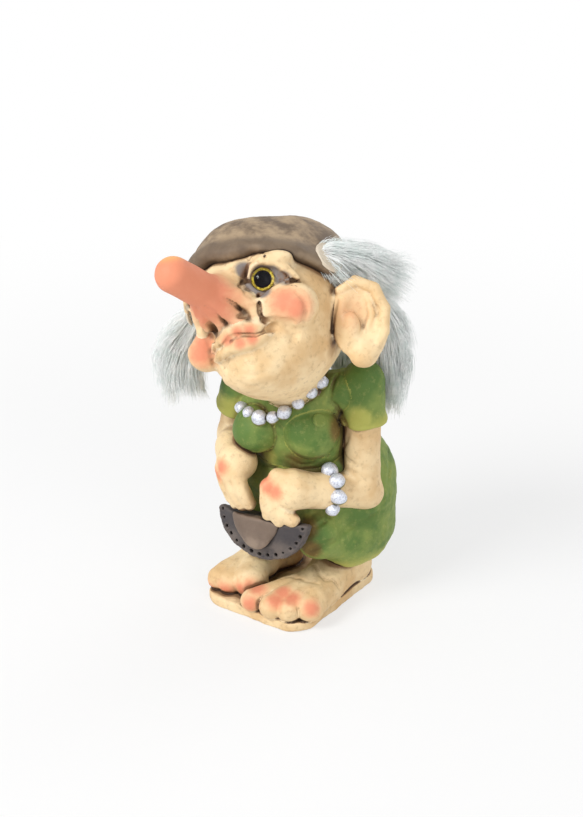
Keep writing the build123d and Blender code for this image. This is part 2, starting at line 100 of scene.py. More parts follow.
def press(a, b, soft):  # takes form b out of a, with soft edges
    return -melt(-a, b, soft)


def lineGap(p, points, reach):  # distance to a bent line, worked out only close to it
    points = np.asarray(points)
    gap = np.full(len(p), 1e3)
    near = np.all((p > points.min(0) - reach) & (p < points.max(0) + reach), axis=1)
    if near.any():
        gap[near] = tube(p[near], points, np.zeros(len(points)))
    return gap


def groove(p, points, width, depth):
    return depth * np.exp(-((lineGap(p, points, 3 * width) / width) ** 2))


def grain(p, size, seed):  # smooth noise from -1 to 1
    q = p / size + 31.7 * seed
    corner = np.floor(q).astype(np.int64)
    f = q - corner
    f = f * f * (3 - 2 * f)
    total = np.zeros(len(p))
    for step in itertools.product((0, 1), repeat=3):
        c = corner + step
        mixed = (c[:, 0] * 73856093) ^ (c[:, 1] * 19349663) ^ (c[:, 2] * 83492791)
        mixed = (mixed * 2654435761) & 0xFFFFFFFF
        weight = np.prod(np.where(step, f, 1 - f), axis=1)
        total += weight * (mixed / 0xFFFFFFFF)
    return 2 * total - 1


def clayRelief(p, rough):  # thumb marks, small lumps and grit of worked clay
    return rough * (0.30 * grain(p, 7.0, 1) + 0.16 * grain(p, 2.6, 2) + 0.07 * grain(p, 1.1, 3))


def netFrom(field, low, high, cell):  # vertices and quads of the field's zero surface
    block = 8
    count = np.ceil((high - low) / (cell * block)).astype(int)
    values = np.empty(tuple(count * block), np.float32)
    middles = np.stack(np.meshgrid(*[(np.arange(n) + 0.5) * block for n in count], indexing="ij"), -1)
    coarse = field(low + middles.reshape(-1, 3) * cell).reshape(tuple(count))
    values[:] = np.repeat(np.repeat(np.repeat(coarse, block, 0), block, 1), block, 2)
    inner = np.stack(np.meshgrid(*[np.arange(block)] * 3, indexing="ij"), -1).reshape(-1, 3)
    busy = np.argwhere(np.abs(coarse) < cell * block * 0.9 + 1.5)
    for some in np.array_split(busy, max(1, len(busy) // 400)):
        at = (some[:, None, :] * block + inner[None]).reshape(-1, 3)
        values[at[:, 0], at[:, 1], at[:, 2]] = field(low + at * cell)
    for side in itertools.product(range(3), (0, -1)):  # the box closes what reaches past it
        face = [slice(None)] * 3
        face[side[0]] = side[1]
        values[tuple(face)] = np.maximum(values[tuple(face)], cell)
    inside = values < 0
    total = np.zeros(tuple(np.array(values.shape) - 1), np.int8)
    for a, b, c in itertools.product((0, 1), repeat=3):
        total += inside[tuple(slice(k, n - 1 + k) for k, n in zip((a, b, c), inside.shape))]
    cells = np.argwhere((total > 0) & (total < 8))
    ids = np.full(total.shape, -1)
    ids[cells[:, 0], cells[:, 1], cells[:, 2]] = np.arange(len(cells))
    place, hits = np.zeros((len(cells), 3)), np.zeros(len(cells))
    quads = []
    for axis in range(3):
        one = np.eye(3, dtype=int)[axis]
        others = [np.eye(3, dtype=int)[k] for k in range(3) if k != axis]
        for a, b in itertools.product((0, 1), repeat=2):
            start = cells + a * others[0] + b * others[1]
            end = start + one
            v0, v1 = values[tuple(start.T)], values[tuple(end.T)]
            cross = (v0 < 0) != (v1 < 0)
            t = np.where(cross, v0 / np.where(cross, v0 - v1, 1), 0)
            place += cross[:, None] * (start + t[:, None] * one)
            hits += cross
        first = inside[tuple(slice(0, n - (1 if k == axis else 0)) for k, n in enumerate(inside.shape))]
        second = inside[tuple(slice(1 if k == axis else 0, n) for k, n in enumerate(inside.shape))]
        edges = np.argwhere(first != second)
        edges = edges[np.all(edges @ np.stack(others).T > 0, axis=1)]
        u, w = others
        ring = [edges - u - w, edges - w, edges, edges - u]
        quad = np.stack([ids[tuple(r.T)] for r in ring], 1)
        flip = first[tuple(edges.T)] != (axis == 1)
        quad = np.where(flip[:, None], quad, quad[:, ::-1])
        quads.append(quad)
    return low + place / hits[:, None] * cell, np.concatenate(quads)


def slope(field, p):
    step = 0.05
    here = field(p)
    lean = np.stack([field(p + step * axis) - here for axis in np.eye(3)], 1)
    return here, lean / np.maximum(length(lean), 1e-9)[:, None]


def meshFrom(name, points, quads, fields=None):
    mesh = bpy.data.meshes.new(name)
    mesh.vertices.add(len(points))
    mesh.vertices.foreach_set("co", np.asarray(points * mm, np.float32).ravel())
    mesh.loops.add(quads.size)
    mesh.loops.foreach_set("vertex_index", np.asarray(quads, np.int32).ravel())
    mesh.polygons.add(len(quads))
    mesh.polygons.foreach_set("loop_start", np.arange(0, quads.size, quads.shape[1], dtype=np.int32))
    mesh.update(calc_edges=True)
    mesh.validate()
    mesh.polygons.foreach_set("use_smooth", np.ones(len(mesh.polygons), bool))
    for label, values in (fields or {}).items():
        layer = mesh.attributes.new(label, "FLOAT", "POINT")
        layer.data.foreach_set("value", np.asarray(values, np.float32))
    piece = bpy.data.objects.new(name, mesh)
    bpy.context.scene.collection.objects.link(piece)
    return piece


# The camera stands where the photograph was taken from
camera = {
    "target": spot(1, -2, 78),
    "toViewer": spot(0.520, -0.742, 0.423),
    "right": spot(0.819, 0.574, 0.0),
    "up": spot(-0.242, 0.346, 0.906),
    "distance": 620.0,
    "focal": 1674.0,  # in the photograph's pixels
    "size": (583, 817),
    "sensor": 36.0,
}
eyePoint = camera["target"] + camera["distance"] * camera["toViewer"]


def seen(field, pixels):  # where the camera sees the clay at each pixel of the photograph
    pixels = np.asarray(pixels, float)
    across = (pixels[:, 0] - camera["size"][0] / 2) / camera["focal"]
    above = (camera["size"][1] / 2 - pixels[:, 1]) / camera["focal"]
    ray = -camera["toViewer"] + across[:, None] * camera["right"] + above[:, None] * camera["up"]
    ray /= length(ray)[:, None]
    far = np.full(len(pixels), camera["distance"] - 110.0)
    best, bestFar = np.full(len(pixels), 1e3), far.copy()
    for _ in range(60):
        gap = field(eyePoint + far[:, None] * ray)
        closer = gap < best
        best, bestFar = np.where(closer, gap, best), np.where(closer, far, bestFar)
        far = far + np.clip(gap, -2, 8) * 0.8
    return eyePoint + bestFar[:, None] * ray


def turnedAxes(roll, pitch):
    r, t = math.radians(roll), math.radians(pitch)
    left = spot(math.cos(r), math.sin(r) * math.sin(t), math.sin(r) * math.cos(t))
    up = spot(-math.sin(r), math.cos(r) * math.sin(t), math.cos(r) * math.cos(t))
    return np.stack([left, np.cross(left, up), up])


# Body forms
body = {
    "hip": (spot(5, 16, 42), spot(28, 26, 27)),
    "belly": (spot(1.1, 2.0, 47.9), spot(18, 15, 17)),
    "thigh": {
        1: (spot(15.9, 22.0, 29.6), spot(17.0, -6.1, 32.0), 14.0, 9.5),
        -1: (spot(-7.9, 18.1, 29.6), spot(-9.0, -7.9, 30.9), 14.0, 9.5),
    },
    "hemBulge": (spot(22.5, 12, 27), spot(11, 17, 13)),
    "lap": (spot(-12.0, -6.0, 48), spot(6.5, 6.5, 8.5)),
    "torso": (spot(1, 3, 70), spot(20, 16, 24)),
    "chest": (spot(5, -4, 80.1), spot(13, 9.5, 11)),
    "yoke": (spot(20, 6, 88), spot(-15, -4, 79.2), 8.0, 7.0),
    "cup": {1: (spot(12.4, -5, 73.6), 10.4), -1: (spot(-7, -13, 72), 8.8)},
    "shoulder": {1: spot(26, 8, 92.1), -1: spot(-20, -4.2, 83.3)},
    "elbow": {1: spot(27, 7, 48.5), -1: spot(-26, -0.2, 59.3)},
    "wrist": {1: spot(19.8, -8.5, 52.3), -1: spot(-18, -13, 61.4)},
    "palm": {1: spot(13, -17.8, 54.7), -1: spot(-12.2, -18.4, 59.5)},
    "hem": 15.0,
    "slab": (spot(23.5, 28, 4.0), 9.0, 0.9),  # half sizes with the whole height, corner and edge radius
}
headAxes = turnedAxes(roll=25.5, pitch=18.5)
headCentre = spot(1, -14, 121)


def onHead(*place):  # head places are left, forward and up of the head's middle
    return headCentre + spot(*place) @ headAxes


def inHead(p):
    return (p - headCentre) @ headAxes.T


body["neck"] = (spot(1, 1.1, 84.5), onHead(0, -2.8, -15), 11.5, 12.5)
print("kit ready")

# Head: skull, jaw, cheeks, muzzle, lips, lids and brows, in places left, forward and up
face = {
    "skull": (spot(0, 0, 0), spot(27, 28, 30)),
    "jaw": (spot(2.6, 8.5, -13.2), spot(18.8, 18.6, 18.5)),
    "chin": (spot(1.0, 20.0, -21.0), spot(11, 8.5, 7.5)),
    "muzzle": (spot(2.0, 22.5, -11), spot(10, 8.5, 7.5)),
    "cheek": {
        1: (spot(14.6, 20.4, -2.8), spot(21.0, 16.8, -3.4), 7.0, 7.8),
        -1: (spot(-13.5, 22.0, -8.5), spot(-16.5, 20.6, -11.5), 5.4, 6.6),
    },
    "brow": (spot(15.0, 18.5, 13.4), spot(8.5, 5.0, 3.6)),
    "innerBrow": (spot(4.6, 22.6, 12.2), spot(3.8, 4.6, 4.4)),
    "eye": {1: spot(14.04, 23.5, 7.5), -1: spot(-11.88, 24.64, 6.6)},
    "gaze": {1: (30, 4), -1: (20, 4)},  # turned outwards and upwards, in degrees
    "socket": (spot(0.4, 3.2, -0.6), spot(8.4, 5.2, 6.2)),
    "smileHollow": (spot(21.0, 24.6, -10.0), spot(2.6, 3.4, 2.2)),
    "mouthCorner": (spot(14.6, 26.6, -9.9), spot(1.5, 2.4, 1.3)),
}
lips = {
    "upper": [(-9.5, 27.0, -13.0), (-5.0, 30.5, -11.0), (0.3, 33.2, -10.6), (3.4, 32.8, -8.8), (6.8, 31.2, -8.2),
              (10.0, 28.9, -9.0), (12.8, 26.3, -9.2), (15.6, 24.6, -8.4)],
    "upperRadii": (0.9, 1.5, 1.7, 1.9, 2.1, 2.0, 1.7, 1.1),
    "lower": [(-9.0, 26.5, -15.5), (-4.5, 30.0, -15.0), (1.0, 32.0, -14.0), (4.4, 31.2, -13.3), (7.9, 29.4, -13.0),
              (11.2, 27.2, -12.2), (13.9, 25.4, -10.8)],
    "lowerRadii": (0.9, 1.7, 2.0, 2.4, 2.4, 2.0, 1.2),
}


def eyeAxes(hand):  # the eye's own sideways, upward and outward directions
    turn, tilt = (math.radians(angle) for angle in face["gaze"][hand])
    gaze = spot(hand * math.sin(turn) * math.cos(tilt), math.cos(turn) * math.cos(tilt), math.sin(tilt))
    side = np.cross(spot(0, 0, 1), gaze) * -hand
    up = spot(0, 0, 1) - gaze * gaze[2]
    return side / np.linalg.norm(side), up / np.linalg.norm(up), gaze


def lidLine(hand, places):
    side, up, gaze = eyeAxes(hand)
    return [face["eye"][hand] + a * side + b * up + c * gaze for a, b, c in places]


lids = {  # sideways, up and out of the eye's middle
    "upper": [(-3.8, 1.4, 0.2), (-2.0, 4.3, 0.8), (1.4, 5.9, 1.0), (5.0, 5.2, 0.7), (8.2, 2.4, 0.0),
              (11.5, -1.6, -1.5)],
    "upperRadii": (1.2, 1.9, 2.4, 2.2, 1.6, 0.9),
    "lower": [(-4.8, -1.4, 0.0), (-2.8, -4.4, 0.2), (1.2, -5.3, 0.2), (5.0, -3.6, -0.2), (9.0, -1.2, -0.9)],
    "lowerRadii": (0.7, 0.9, 0.9, 0.8, 0.6),
    "pocket": 4.25,
    "pocketDepth": 1.5,
}


def faceForm(p):
    q = inHead(p)
    d = ball(q, *face["skull"])
    for label, soft in (("jaw", 7.0), ("chin", 5.0), ("muzzle", 5.0)):
        d = melt(d, ball(q, *face[label]), soft)
    for hand in (1, -1):
        flip = spot(hand, 1, 1)
        d = melt(d, ball(q, face["brow"][0] * flip, face["brow"][1]), 5.0)
        d = melt(d, ball(q, face["innerBrow"][0] * flip, face["innerBrow"][1]), 2.5)
        d = press(d, ball(q, face["eye"][hand] + face["socket"][0] * flip, face["socket"][1]), 3.0)
        d = melt(d, pill(q, *face["cheek"][hand]), 1.6)
        d = melt(d, tube(q, lidLine(hand, lids["upper"]), lids["upperRadii"]), 0.8)
        d = melt(d, tube(q, lidLine(hand, lids["lower"]), lids["lowerRadii"]), 1.2)
        gaze = eyeAxes(hand)[2]
        eye = q - face["eye"][hand]
        out = eye @ gaze
        pocket = length(eye - out[:, None] * gaze) - lids["pocket"] - 0.15 * np.maximum(out, 0)
        d = press(d, np.maximum(pocket, -lids["pocketDepth"] - out), 0.4)
    d = press(d, ball(q, *face["smileHollow"]), 1.2)
    d = melt(d, tube(q, lips["upper"], lips["upperRadii"]), 1.6)
    d = melt(d, tube(q, lips["lower"], lips["lowerRadii"]), 1.6)
    return press(d, ball(q, *face["mouthCorner"]), 0.8)


nose = {
    "line": [spot(0, 24, 1.2), spot(0, 40, 6.6), spot(0, 54.2, 11.6)],
    "radii": (8.6, 6.2, 6.2),
    "bridge": (spot(0, 21, 12), spot(0, 30, 5), 5.0, 6.5),
    "flank": [(6.2, 36.0, 4.2), (8.6, 31.2, 2.2), (11.0, 28.4, -0.6), (11.6, 27.4, -4.2)],
    "flankRadii": (2.0, 3.0, 2.7, 1.9),
    "fold": [(2.6, 40.0, 1.6), (4.6, 35.4, -1.4), (6.2, 31.8, -4.0)],
    "foldRadii": (2.2, 2.6, 2.2),
    "wall": [(0.0, 41.0, 2.0), (0.0, 36.2, -1.2), (0.2, 31.2, -4.6), (0.2, 28.6, -8.0)],
    "wallRadii": (2.0, 2.2, 2.3, 1.8),
    "nostril": (spot(8.8, 32.0, -4.4), spot(2.0, 3.2, 1.5)),
}


def noseForm(p):
    q = inHead(p)
    d = tube(q, nose["line"], nose["radii"])
    d = melt(d, pill(q, *nose["bridge"]), 4.0)
    for hand in (1, -1):
        flip = spot(hand, 1, 1)
        d = melt(d, tube(q, np.array(nose["flank"]) * flip, nose["flankRadii"]), 2.6)
        d = melt(d, tube(q, np.array(nose["fold"]) * flip, nose["foldRadii"]), 1.6)
        d = press(d, ball(q, nose["nostril"][0] * flip, nose["nostril"][1]), 0.8)
    return melt(d, tube(q, nose["wall"], nose["wallRadii"]), 0.9)


ear = {  # places outwards, forward and up of the ear's middle
    "turn": 35.0,
    "middle": {1: spot(32.4, -3.4, -10.8), -1: spot(-29.7, -12.6, -4.8)},
    "shell": (spot(0, 0, 0), spot(10.2, 4.4, 14.5)),
    "bowl": (spot(1.5, 5.4, 1.6), spot(7.2, 4.4, 9.8)),
    "rim": [(-5, 2.2, 11.0), (1, 3.0, 13.2), (7, 3.0, 9.5), (9.2, 2.6, 2), (7.6, 2.2, -6), (3, 1.8, -11.5)],
    "rimRadii": (1.5, 1.9, 2.0, 1.9, 1.7, 1.6),
    "flapBefore": (spot(-3.2, 2.4, -1.5), spot(3.0, 2.6, 4.6)),
    "ridge": [(4.0, 1.4, 7.5), (4.6, 1.6, 1.0), (2.0, 1.4, -4.5)],
    "ridgeRadii": (1.0, 1.2, 1.0),
    "lobe": (spot(-0.8, 1.0, -12.2), spot(4.8, 3.8, 4.6)),
}


def earForm(hand):
    turn = math.radians(ear["turn"])
    out = spot(hand * math.cos(turn), -math.sin(turn), 0)
    front = spot(hand * math.sin(turn), math.cos(turn), 0)
    axes = np.stack([out, front, spot(0, 0, 1)])

    def form(p):
        q = (inHead(p) - ear["middle"][hand]) @ axes.T
        d = press(ball(q, *ear["shell"]), ball(q, *ear["bowl"]), 1.2)
        d = melt(d, tube(q, ear["rim"], ear["rimRadii"]), 1.0)
        d = melt(d, ball(q, *ear["flapBefore"]), 1.2)
        d = melt(d, tube(q, ear["ridge"], ear["ridgeRadii"]), 1.2)
        return melt(d, ball(q, *ear["lobe"]), 1.5)

    return form


scarf = {
    "cloth": 3.4,
    "crown": (spot(10.8, -6.7, 12.6), spot(17.5, 19, 18)),
    "front": (spot(-3.5, 8, 14.0), spot(17.5, 18, 18.6)),
    "brimRise": 4.8,
    "brimTilt": math.radians(27),
    "roll": 7.0,
    "rollThick": 1.5,
    "rollUp": 3.0,
}


def scarfForm(p):
    q = inHead(p)
    d = ball(q, spot(0, 0, 0), face["skull"][1] + scarf["cloth"])
    d = melt(d, ball(q, *scarf["crown"]), 5.0)
    d = melt(d, ball(q, *scarf["front"]), 4.0)
    down = math.cos(scarf["brimTilt"]) * (q[:, 2] - scarf["brimRise"]) - math.sin(scarf["brimTilt"]) * q[:, 1]
    wave = 0.8 * np.sin(q[:, 0] * 0.22 + 1.0) + 0.5 * np.sin(q[:, 0] * 0.45)
    down = down + wave
    rolled = d - scarf["rollThick"] * np.exp(-(((down - scarf["rollUp"]) / (0.5 * scarf["roll"])) ** 2))
    return press(rolled, down, 2.2)


# Body
def skirtForm(p):
    d = ball(p, *body["hip"])
    d = melt(d, ball(p, *body["belly"]), 6.0)
    for hand in (1, -1):
        d = melt(d, pill(p, *body["thigh"][hand]), 3.0)
    d = melt(d, ball(p, *body["hemBulge"]), 5.0)
    d = melt(d, ball(p, *body["lap"]), 4.0)
    wave = 1.2 * np.sin(p[:, 0] * 0.25) + 0.8 * np.sin(p[:, 1] * 0.3 + 1)
    return press(d, p[:, 2] - body["hem"] + wave, 2.0)


def torsoForm(p):
    d = ball(p, *body["torso"])
    d = melt(d, ball(p, *body["chest"]), 4.0)
    return melt(d, pill(p, *body["yoke"]), 5.0)


def cupForm(hand):
    centre, radius = body["cup"][hand]
    return lambda p: ball(p, centre, spot(radius, radius, radius * 1.02))


def neckForm(p):
    return pill(p, *body["neck"])


arms = {
    "sleeveReach": {1: 0.37, -1: 0.42},  # share of the way from shoulder to elbow
    "sleeveRadii": (7.9, 8.6),
    "hemRoll": (0.7, 1.6, 1.8),  # height, place before the hem and width
    "upper": (6.4, 6.9),
    "lower": (7.0, 6.0),
    "elbowPoint": (spot(1.5, 3.0, -2.5), 5.0),
}


def sleeveForm(hand):
    top, elbow = body["shoulder"][hand], body["elbow"][hand]
    hem = top + (elbow - top) * arms["sleeveReach"][hand]
    along = (elbow - top) / np.linalg.norm(elbow - top)
    high, before, wide = arms["hemRoll"]

    def form(p):
        past = (p - hem) @ along
        d = pill(p, top, hem + along * 6, *arms["sleeveRadii"])
        d = d - high * np.exp(-(((past + before) / wide) ** 2))
        return press(d, 0.5 * np.sin(p[:, 0] * 0.5) - past, 1.4)

    return form


def armForm(hand):
    top, elbow, wrist = (body[joint][hand] for joint in ("shoulder", "elbow", "wrist"))
    place, radius = arms["elbowPoint"]

    def form(p):
        d = melt(pill(p, top, elbow, *arms["upper"]), pill(p, elbow, wrist, *arms["lower"]), 2.5)
        return melt(d, ball(p, elbow + place * spot(hand, 1, 1), radius), 3.0)

    return form


hands = {
    "wristRadii": (6.0, 7.8),
    "fingerRadii": (3.6, 3.3, 3.0, 2.7),
    1: {
        "knuckles": [(8.0, -20.8, 59.6), (6.2, -23.4, 56.2), (6.6, -24.0, 52.2), (8.8, -23.0, 48.6)],
        "tips": [(5.0, -22.6, 48.4), (6.6, -24.0, 45.4), (10.4, -23.2, 43.8), (15.2, -21.2, 44.2)],
    },
    -1: {
        "knuckles": [(-17.6, -19.4, 55.4), (-15.2, -22, 56.2), (-12.2, -23.4, 56.8), (-8.8, -23.8, 57.2)],
        "tips": [(-12.4, -21.2, 45.6), (-9.4, -22.4, 44.6), (-6.4, -22.9, 44.8), (-3.2, -22.8, 46.0)],
    },
}


def handForm(hand):
    wrist, palm = body["wrist"][hand], body["palm"][hand]

    def form(p):
        d = pill(p, wrist, palm, *hands["wristRadii"])
        fingers = np.full(len(p), 1e3)
        for knuckle, tip in zip(np.array(hands[hand]["knuckles"]), np.array(hands[hand]["tips"])):
            root, middle = palm + 0.3 * (knuckle - palm), 0.5 * (knuckle + tip) + spot(0, -0.8, 0)
            fingers = melt(fingers, tube(p, [root, knuckle, middle, tip], hands["fingerRadii"]), 0.5)
        return melt(d, fingers, 2.0)

    return form


feet = {
    "heelRadii": (9.5, 9.0),
    "instepRadii": (9.0, 8.0),
    "toeRoot": 6.0,
    "outerHeel": 7.6,
    "underside": 3.0,
    1: {
        "heel": spot(15.0, 16.8, 8.75), "ankle": spot(15.0, 16.8, 15.0), "instep": spot(16.0, -3.4, 9.6),
        "tips": [spot(0.0, -26.0, 7.1), spot(8.9, -25.8, 7.4), spot(15.5, -24.1, 7.2), spot(21.2, -19.0, 7.9)],
        "radii": (4.4, 4.8, 4.6, 5.6),
    },
    -1: {
        "heel": spot(-12.7, 10.1, 8.75), "ankle": spot(-12.7, 10.1, 15.0), "instep": spot(-12.7, -2.8, 10.4),
        "tips": [spot(-7.1, -17.1, 9.4), spot(-14.6, -20.4, 8.0), spot(-19.7, -20.7, 7.7)],
        "radii": (6.8, 5.0, 4.6),
    },
}


def footForm(hand):
    foot = feet[hand]

    def form(p):
        d = pill(p, foot["heel"], foot["ankle"], *feet["heelRadii"])
        d = melt(d, pill(p, foot["ankle"], foot["instep"], *feet["instepRadii"]), 3.0)
        toes = np.full(len(p), 1e3)
        for tip, radius in zip(foot["tips"], foot["radii"]):
            knuckle = foot["instep"] + 0.72 * (tip - foot["instep"]) + spot(0, 0, 1.6)
            toe = tube(p, [foot["instep"], knuckle, tip], (feet["toeRoot"], 0.86 * radius, radius))
            toes = melt(toes, toe, 0.7)
        d = melt(d, toes, 2.5)
        outer = foot["heel"] + 0.85 * (foot["tips"][-1] - foot["heel"])
        d = melt(d, pill(p, foot["heel"], outer, feet["outerHeel"], foot["radii"][-1]), 2.5)
        return press(d, p[:, 2] - feet["underside"], 0.6)

    return form


def slabForm(p):
    half, corner, rounding = body["slab"]
    q = np.abs(p - spot(0, 0, 0.5 * half[2])) - (half * spot(1, 1, 0.5) - spot(corner, corner, rounding))
    flat = length(np.maximum(q[:, :2], 0)) + np.minimum(q[:, :2].max(1), 0) - corner + rounding
    edge = np.stack([flat, q[:, 2]], 1)
    return length(np.maximum(edge, 0)) - rounding + np.minimum(edge.max(1), 0)


pouch = {
    "centre": spot(1.64, -19.75, 42.0),
    "roll": math.radians(4),
    "lean": math.radians(14),
    "body": spot(18.4, 15.6, 5.0),
    "rim": spot(20.0, 17.0, 1.7),
    "flap": spot(10.4, 11.2, 2.6),
    "lobe": (spot(1.2, -8.0, 0.3), spot(5.2, 4.6, 2.0)),
    "flapOut": 4.6,
    "sag": 0.9,
    "holes": 15,
    "holeRadius": 0.55,
    "holeRow": (18.1, 15.1),
}


def inPouch(p):  # across, up and out of the pouch
    r, t = pouch["roll"], pouch["lean"]
    across = spot(math.cos(r), math.sin(r) * math.sin(t), math.sin(r) * math.cos(t))
    out = spot(0, -math.cos(t), math.sin(t))
    up = np.cross(out, across)
    return (p - pouch["centre"]) @ np.stack([across, up / np.linalg.norm(up), out]).T


def pouchForm(p):
    q = inPouch(p)
    d = ball(q, spot(0, 0, 0), pouch["body"])
    wide, tall, thick = pouch["rim"]
    across = q[:, 0] / wide
    oval = (np.sqrt(across ** 2 + (q[:, 1] / tall) ** 2) - 1) * tall
    d = melt(d, np.maximum(oval, np.abs(q[:, 2]) - thick), 1.2)
    d = press(d, pouch["sag"] * (across ** 2 - 1) - q[:, 1], 1.4)
    for k in range(pouch["holes"]):
        turn = math.pi * (k + 0.5) / pouch["holes"]
        at = spot(math.cos(turn), math.sin(turn)) * -spot(*pouch["holeRow"])
        d = press(d, length(q[:, :2] - at) - pouch["holeRadius"], 0.3)
    return d


def flapForm(p):
    q = inPouch(p)
    middle = spot(-1.0, 0.0, pouch["flapOut"])
    d = ball(q, middle, pouch["flap"])
    d = melt(d, ball(q, middle + pouch["lobe"][0], pouch["lobe"][1]), 2.0)
    return press(d, -(q[:, 1] + 0.3), 1.4)


forms = {
    "head": faceForm, "nose": noseForm, "left_ear": earForm(1), "right_ear": earForm(-1), "headscarf": scarfForm,
    "neck": neckForm, "torso": torsoForm, "left_bodice_cup": cupForm(1), "right_bodice_cup": cupForm(-1),
    "left_sleeve": sleeveForm(1), "right_sleeve": sleeveForm(-1), "left_arm": armForm(1), "right_arm": armForm(-1),
    "left_hand": handForm(1), "right_hand": handForm(-1), "skirt": skirtForm, "left_foot": footForm(1),
    "right_foot": footForm(-1), "base_slab": slabForm, "pouch_body": pouchForm, "pouch_flap": flapForm,
}


def wholeForm(p):
    return np.min([form(p) for form in forms.values()], axis=0)


# Cracks and folds, as lines on the photograph: width and depth in millimetres, then pixel pairs
cracks = {
    "head": [
        (0.9, 1.5, 297, 291, 304, 298, 307, 306, 305, 318, 299, 330, 295, 338),
        (0.8, 1.3, 258, 296, 259, 304, 260, 312, 263, 320, 270, 322),
        (0.8, 1.0, 263, 320, 275, 318, 286, 320, 294, 322),
        (0.5, 1.3, 224, 344, 229, 337, 236, 334, 246, 334, 256, 335, 266, 331, 272, 325),
        (1.3, 1.8, 272, 327, 280, 322),
        (1.5, 1.4, 286, 323, 292, 330, 294, 338),
        (0.45, 0.6, 279, 275, 288, 277, 298, 280, 306, 284),
        (0.4, 0.5, 281, 279, 290, 284, 298, 287),
        (0.5, 0.9, 233, 259, 238, 254, 246, 251, 258, 249, 263, 252, 266, 258),
        (0.45, 0.7, 250, 257, 249, 264, 247, 272, 243, 279, 240, 286),
        (0.8, 0.8, 240, 286, 246, 293, 253, 297, 262, 293, 272, 287),
        (0.5, 0.6, 226, 298, 236, 304, 246, 312),
        (0.5, 0.7, 206, 306, 216, 312, 226, 320),
        (0.7, 1.3, 221, 346, 220, 356, 224, 366),
        (0.7, 1.2, 212, 352, 214, 362, 222, 372),
        (0.6, 0.9, 230, 354, 226, 364, 228, 371),
        (0.7, 1.0, 212, 335, 215, 343, 214, 352),
        (0.7, 1.0, 197, 307, 198, 318, 199, 328),
        (0.8, 1.1, 209, 324, 218, 329, 227, 326, 236, 324),
        (0.9, 0.35, 240, 372, 252, 376, 266, 372),
        (0.9, 0.3, 237, 382, 252, 387, 270, 382),
        (0.7, 0.8, 337, 300, 334, 315, 333, 330, 338, 345),
    ],
    "torso": [
        (0.6, 1.6, 338, 374, 331, 391, 330, 400, 337, 406, 342, 412, 347, 425, 347, 441, 342, 449,
         347, 458, 354, 463),
        (0.5, 1.1, 335, 411, 339, 422, 339, 436, 334, 447, 328, 455),
        (0.6, 1.2, 289, 458, 300, 464, 313, 464, 320, 458),
        (0.6, 1.2, 245, 449, 256, 451, 267, 448),
        (0.5, 0.9, 250, 452, 257, 460, 264, 464, 278, 467, 294, 468, 313, 468),
    ],
    "skirt": [
        (1.0, 1.8, 311, 550, 324, 544, 339, 538, 345, 530, 353, 525),
        (0.8, 1.0, 308, 535, 318, 526, 325, 521),
        (0.9, 0.9, 353, 525, 366, 520, 378, 512),
        (1.0, 0.8, 385, 440, 390, 460, 389, 480),
    ],
    "left_foot": [
        (0.6, 1.2, 316, 565, 320, 574, 326, 580, 333, 579, 340, 588),
        (0.6, 0.7, 282, 578, 292, 576, 306, 581, 318, 583),
    ],
    "left_arm": [
        (0.6, 0.9, 352, 464, 360, 466, 367, 470),
    ],
}
crackLines = {}
for name, lines in cracks.items():
    crackLines[name] = [(seen(wholeForm, np.reshape(line[2:], (-1, 2))), *line[:2]) for line in lines]
print("cracks placed on the clay")

joins = {  # neighbours that a piece melts into, and how softly
    "head": {"nose": 4.5, "left_ear": 1.8, "right_ear": 1.8, "neck": 1.5},
    "nose": {"head": 4.5},
    "left_ear": {"head": 1.8},
    "right_ear": {"head": 1.8},
    "neck": {"torso": 1.5, "head": 1.5},
    "torso": {"left_bodice_cup": 2.2, "right_bodice_cup": 2.2, "left_sleeve": 2.5, "right_sleeve": 2.0, "neck": 1.5,
              "skirt": 2.0},
    "left_bodice_cup": {"torso": 2.2},
    "right_bodice_cup": {"torso": 2.2},
    "left_sleeve": {"torso": 2.5},
    "right_sleeve": {"torso": 2.0},
    "left_arm": {"left_hand": 3.0, "torso": 0.8},
    "right_arm": {"right_hand": 3.0, "torso": 0.8},
    "left_hand": {"left_arm": 3.0},
    "right_hand": {"right_arm": 3.0},
    "skirt": {"torso": 2.0},
    "left_foot": {"base_slab": 1.2},
    "right_foot": {"base_slab": 1.2, "left_foot": 0.8},
    "base_slab": {"left_foot": 1.2, "right_foot": 1.2},
}
rough = {
    "head": 0.55, "nose": 0.35, "skirt": 1.3, "torso": 1.1, "headscarf": 0.9, "base_slab": 1.2, "pouch_body": 0.9,
    "others": 0.8,
}
seamCracks = {
    "torso": 0.5, "left_sleeve": 0.5, "right_sleeve": 0.5, "left_bodice_cup": 0.45, "right_bodice_cup": 0.45,
    "neck": 0.5, "left_ear": 0.35, "right_ear": 0.35, "base_slab": 0.4, "left_foot": 0.4, "right_foot": 0.4,
}
cellSize = 0.65
sculpting = {
    "margin": 3.2,  # how far a piece may reach past its node's box
    "settle": 0.4,  # cells that a point moves at most to the true surface
    "shadeReach": {"fine": 0.7, "hollow": 2.0, "deep": 6.0},
    "crestReach": 0.9,
    "seamWidth": 0.9,
    "sharing": 1.4,  # how far a piece runs on under its neighbour
    "neighbours": 6.0,
}


